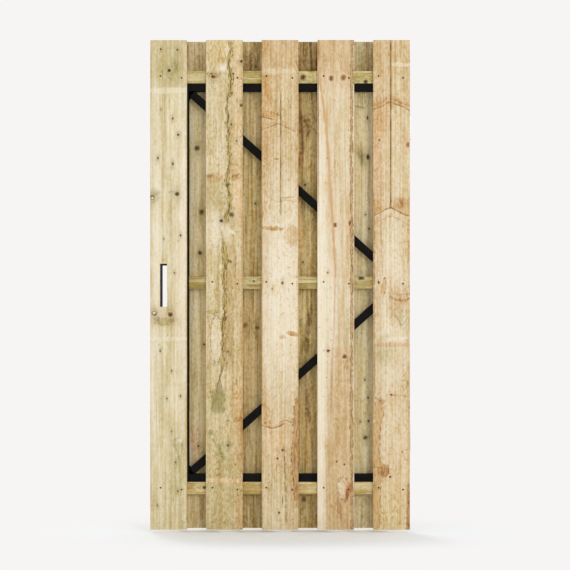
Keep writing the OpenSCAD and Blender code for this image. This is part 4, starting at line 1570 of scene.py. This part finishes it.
def make_lock_box():
    plates = [f"lock_box_{part}" for part in ("front", "back", "top", "bottom", "edge")]
    low = Vector([min(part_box(p)[0][i] for p in plates) for i in range(3)])
    high = Vector([max(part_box(p)[1][i] for p in plates) for i in range(3)])
    box = solid("lock_box", low, high)
    round_off(box, upright_edges(box, low.x + 1e-4), BOX_ROUND, 4)
    wall = Vector((SHEET, SHEET, SHEET))
    cut(box, solid("hollow", low + wall, high - wall + Vector((2 * SHEET, 0, 0))))
    window_low = Vector((at(WINDOW_X, 0, 0).x, low.y - SHEET, low.z + MARGIN))
    window_high = Vector((at(WINDOW_X + SLOT_W, 0, 0).x, high.y + SHEET, high.z - MARGIN))
    window = solid("window", window_low, window_high)
    cut(box, round_off(window, along(window, LONG["y"]), SLOT_ROUND, 3))
    middle, tall = (low + high) / 2, high.z - low.z
    half_mouth = Vector((2 * SHEET, MOUTH_HALF_DEPTH, tall / 2 - MOUTH_MARGIN))
    at_edge = Vector((low.x, middle.y, middle.z))
    cut(box, solid("mouth", at_edge - half_mouth, at_edge + half_mouth))
    for side in (-1, 1):
        spot = at_edge + Vector((0, 0, side * (tall - MARGIN) / 2))
        cut(box, rod("lock_screw_hole", LOCK_SCREW_R, spot, 12, "x", sides=20))
    return fit(box, lock_box_painted_sheen_coat, "leaf", "black_steel", *plates)


# The lock box's grey is painted sheen: black steel made lighter, as it looks under the light.
lock_box_painted_sheen_coat = make_metal("lock_box_coat_painted_sheen", (45, 46, 49), (51, 52, 55), metal=0.0, shine=0.2,
                       rough=(0.5, 0.56), cloud=30.0, dimple=0.9, height=0.15)
lock_box = make_lock_box()
print("lock box faces:", len(lock_box.data.polygons))

# %% [markdown]
# ## Welds
# A weld is a row of drops that froze one over the other. One flattened drop is modelled and
# copied along every seam, each a little different in size, and then painted with the frame.

# %% Weld seams
DROP_STEP, DROP_SWELL, DROP_FLAT = 0.85, 0.12, 0.62  # spacing, unevenness and height of the drops


def make_drop(radius):
    deselect()
    bpy.ops.mesh.primitive_uv_sphere_add(segments=10, ring_count=6, radius=radius * MM)
    drop = added("drop")
    bpy.ops.object.shade_smooth()
    return drop


def weld(name, seams, radius, material, body):
    """Seams are (start, stop, the way the seam faces), in millimetres on the leaf."""
    drop = make_drop(radius)
    drops = []
    for start, stop, facing in seams:
        start, stop = at(*start), at(*stop)
        turn = Vector(facing).to_track_quat("Z", "Y")
        count = max(2, round((stop - start).length / MM / (DROP_STEP * radius)))
        for i in range(count):
            copy = twin(drop)
            share = (i + 0.5) / count
            copy.location = start.lerp(stop, share)
            copy.rotation_mode = "QUATERNION"
            copy.rotation_quaternion = turn
            swell = 1 + DROP_SWELL * math.sin(2.4 * i)
            copy.scale = (swell, swell, DROP_FLAT * swell)
            drops.append(copy)
    bpy.data.objects.remove(drop)
    row = join(name, drops)
    take(row)
    bpy.ops.object.transform_apply(location=True, rotation=True, scale=True)
    wear(row, material)
    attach(row, body)
    return row


RAIL_WELD, BRACE_WELD, BOX_WELD = (19, 53), (20, 45), (20, 52)  # from so far in to so far in


def frame_seams():
    """Every seam of the frame: in its corners, round the gussets and braces, and at the box."""
    seams = []

    def inward(across, height, deep, facing):
        seams.append(((across, deep[0], height), (across, deep[1], height), facing))

    lock_low, lock_high = span("lock_box_front")
    for name, height, up in corners:
        for side, inner in ((1, inner_left), (-1, inner_right)):
            inward(inner, height, RAIL_WELD, (side, 0, up))
        gusset_low, gusset_high = span(name + "_gusset")
        tall, wide = gusset_high.z - gusset_low.z, gusset_high.x - gusset_low.x
        back = gusset_high.y
        foot, top = height + up * 3, height + up * (tall - 2)
        seams.append(((inner_left, back, foot), (inner_left, back, top), (1, 1, 0)))
        near, far = inner_left + 3, inner_left + wide - 2
        seams.append(((near, back, height), (far, back, height), (0, 1, up)))
        outer = height + up * (run * math.tan(slope) - BAR / 2 / math.cos(slope))
        inner = height + up * rise
        inward(inner_right, outer, BRACE_WELD, (-1, 0, -up))
        behind = FRAME_Y + BAR
        seams.append(((inner_right, behind, outer), (inner_right, behind, inner), (-1, 1, 0)))
    for height, up in ((lock_low.z, -1), (lock_high.z, 1)):
        inward(lock_high.x, height, BOX_WELD, (-1, 0, up))
    return seams


welds = weld("welds", frame_seams(), 2.6, powder, "leaf")
print("weld faces:", len(welds.data.polygons))

# %% [markdown]
# ## The hinges
# Each hinge is a pin on a plate, and an eye bolt that drops over it. The eye bolt is screwed
# into the upright and locked with a nut, so that the leaf can be set by turning it. One hinge
# is modelled at the lower place and copied to the upper one.

# %% Parts of a hinge
PIN_X, PIN_Y = 978.95, 36
LOWER_Z, UPPER_Z = 351, 1551
PIN_R, PIN_LONG, EYE_R, EYE_LONG, PLAY = 8, 34, 14.05, 28, 0.05
ROOT_R, CREST_R = 7.2, 8.0  # of the eye bolt's thread
NUT_R, NUT_T = 12, 8  # across its flats, halved
PLATE_X, PLATE_Y, PLATE_T, PLATE_HALF = 998, 39, 5, (18, 50)
HOLE_R, SINK_R, SINK_ROOT_R, SINK_LONG = 3.5, 7.2, 3.4, 3.8
ARM_HALF, ARM_TOP, ARM_FOOT = 10, -14, -28  # the arm that the pin stands on
upright_face = span("hinge_side_upright")[1].x


def make_eye_bolt():
    eye = round_ends(rod("eye", EYE_R, at(PIN_X, PIN_Y, LOWER_Z), EYE_LONG), LONG["z"], 1.6, 3)
    cut(eye, rod("bore", PIN_R + PLAY, at(PIN_X, PIN_Y, LOWER_Z), 40))
    deselect()
    bpy.ops.mesh.primitive_circle_add(
        vertices=32, radius=ROOT_R * MM, fill_type="NGON",
        location=at(upright_face, PIN_Y, LOWER_Z), rotation=TURN["x"])
    shank = added("shank")
    pick_all(shank)
    for step in range(18):
        grow = CREST_R / ROOT_R if step % 2 == 0 else ROOT_R / CREST_R
        bpy.ops.mesh.extrude_region_move(TRANSFORM_OT_translate={"value": (1 * MM, 0, 0)})
        centre = at(upright_face + step + 1, PIN_Y, LOWER_Z)
        bpy.ops.transform.resize(value=(1, grow, grow), center_override=centre)
    bpy.ops.mesh.select_all(action="SELECT")
    bpy.ops.mesh.normals_make_consistent(inside=False)
    done(shank)
    return join("lower_eye_bolt", [eye, shank])


def make_nut():
    """A hexagon with its corners turned off, as on a lathe."""
    spot = at(upright_face + NUT_T / 2, PIN_Y, LOWER_Z)
    nut = rod("lower_nut", NUT_R / math.cos(math.radians(30)), spot, NUT_T, "x", sides=6)
    turned = round_ends(rod("turned", NUT_R + 1.9, spot, NUT_T, "x"), LONG["x"], 1.8, 3)
    return cut(nut, turned, "INTERSECT")


def make_pin():
    pin = rod("lower_pin", PIN_R, at(PIN_X, PIN_Y, LOWER_Z + 3), PIN_LONG)
    return round_ends(pin, LONG["z"], 2.2, 3, both=False)


def make_plate():
    half_deep, half_tall = PLATE_HALF
    plate = solid("lower_plate", at(PLATE_X, PLATE_Y - half_deep, LOWER_Z - half_tall),
                  at(PLATE_X + PLATE_T, PLATE_Y + half_deep, LOWER_Z + half_tall))
    round_off(plate, along(plate, LONG["x"]), 5, 5)
    round_ends(plate, LONG["x"], 0.5, 3)
    for dy in (-10, 10):
        for dz in (-38, 38):
            spot = at(PLATE_X + PLATE_T / 2, PLATE_Y + dy, LOWER_Z + dz)
            cut(plate, rod("hole", HOLE_R, spot, 12, "x", sides=24))
            deselect()
            bpy.ops.mesh.primitive_cone_add(
                vertices=24, radius1=SINK_R * MM, radius2=SINK_ROOT_R * MM, depth=SINK_LONG * MM,
                location=spot - Vector((2.2 * MM, 0, 0)), rotation=TURN["x"])
            cut(plate, added("countersink"))
    arm = solid("arm", at(PIN_X - ARM_HALF, PIN_Y - ARM_HALF, LOWER_Z + ARM_FOOT),
                at(PLATE_X + 1, PIN_Y + ARM_HALF, LOWER_Z + ARM_TOP))
    round_off(arm, upright_edges(arm, at(PIN_X, 0, 0).x), 5, 5)
    return join("lower_plate", [plate, arm])


def lift(piece, name):
    """The same part of the upper hinge."""
    copy = twin(piece)
    take(copy)
    copy.name = copy.data.name = name
    copy.location = Vector((0, 0, UPPER_Z - LOWER_Z)) * MM
    bpy.ops.object.transform_apply(location=True, rotation=True, scale=True)
    return copy


# %% Both hinges
hinge_parts = []
for make, node, body in ((make_eye_bolt, "hinge_eye", "leaf"), (make_nut, "hinge_nut", "leaf"),
                         (make_pin, "hinge_pin", "post_hinges"),
                         (make_plate, "hinge_plate", "post_hinges")):
    lower = make()
    upper = lift(lower, lower.name.replace("lower", "upper"))
    for place, piece in (("lower_", lower), ("upper_", upper)):
        hinge_parts.append(fit(piece, zinc, body, "zinc", place + node))
arm_seams = []
for height in (LOWER_Z, UPPER_Z):
    top, foot = height + ARM_TOP, height + ARM_FOOT
    for level, up in ((top, 1), (foot, -1)):
        start, stop = PIN_Y - ARM_HALF + 1, PIN_Y + ARM_HALF - 1
        arm_seams.append(((PLATE_X, start, level), (PLATE_X, stop, level), (-1, 0, up)))
    for side in (-1, 1):
        deep = PIN_Y + side * ARM_HALF
        arm_seams.append(((PLATE_X, deep, foot + 1), (PLATE_X, deep, top - 1), (-1, side, 0)))
hinge_parts.append(weld("hinge_welds", arm_seams, 1.8, zinc, "post_hinges"))
print("hinge parts:", [p.name for p in hinge_parts])

# %% [markdown]
# ## The screws
# A countersunk screw with a star recess is modelled once and copied into every hole. Its
# head lies just below the wood, in the ring of shadow of its countersink.

# %% A screw, and its copies
HEAD_T, RIM, RECESS_R, RECESS_DEEP, SUNK = 2.4, 0.5, 1.7, 0.9, 1.1


def make_screw():
    screw = rod("screw", HEAD_R, (0, 0, -HEAD_T / 2 * MM), HEAD_T, sides=24)
    pick(screw, lambda face: face.normal.z > 0.9)
    bpy.ops.mesh.inset(thickness=RIM * MM)
    bpy.ops.transform.translate(value=(0, 0, -0.12 * MM))
    bpy.ops.mesh.inset(thickness=1.1 * MM)
    done(screw)
    recess_r = RECESS_R * MM

    def between_lobes(vertex):
        spot = vertex.co
        out, lobes = math.hypot(spot.x, spot.y), math.cos(6 * math.atan2(spot.y, spot.x))
        return out < recess_r and spot.z > -1 * MM and lobes < -0.5

    def recess(face):
        small = face.area < math.pi * recess_r ** 2
        return small and face.normal.z > 0.9 and face.center.xy.length < 0.1 * MM

    pick(screw, between_lobes, "VERT")
    bpy.ops.transform.resize(value=(0.7, 0.7, 1), center_override=(0, 0, 0))
    pick(screw, recess)
    bpy.ops.mesh.extrude_region_move(TRANSFORM_OT_translate={"value": (0, 0, -RECESS_DEEP * MM)})
    done(screw)
    take(screw)
    bpy.ops.object.shade_smooth_by_angle(angle=math.radians(40))
    wear(screw, screw_weathered_and_shaded)
    return screw


pattern = make_screw()
made = []
for board, rows in SCREWS.items():
    low, high = span(board)
    for across, up, facing in rows:
        copy = twin(pattern)
        take(copy)
        face_y = low.y if facing < 0 else high.y
        copy.rotation_euler = (-facing * QUARTER, 0, 0)
        copy.location = at(low.x + across, face_y - facing * SUNK, up)
        bpy.ops.object.transform_apply(location=True, rotation=True, scale=True)
        made.append(copy)
bpy.data.objects.remove(pattern)
screws = join("screws", made)
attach(screws, "leaf")
print("screws made:", len(made))
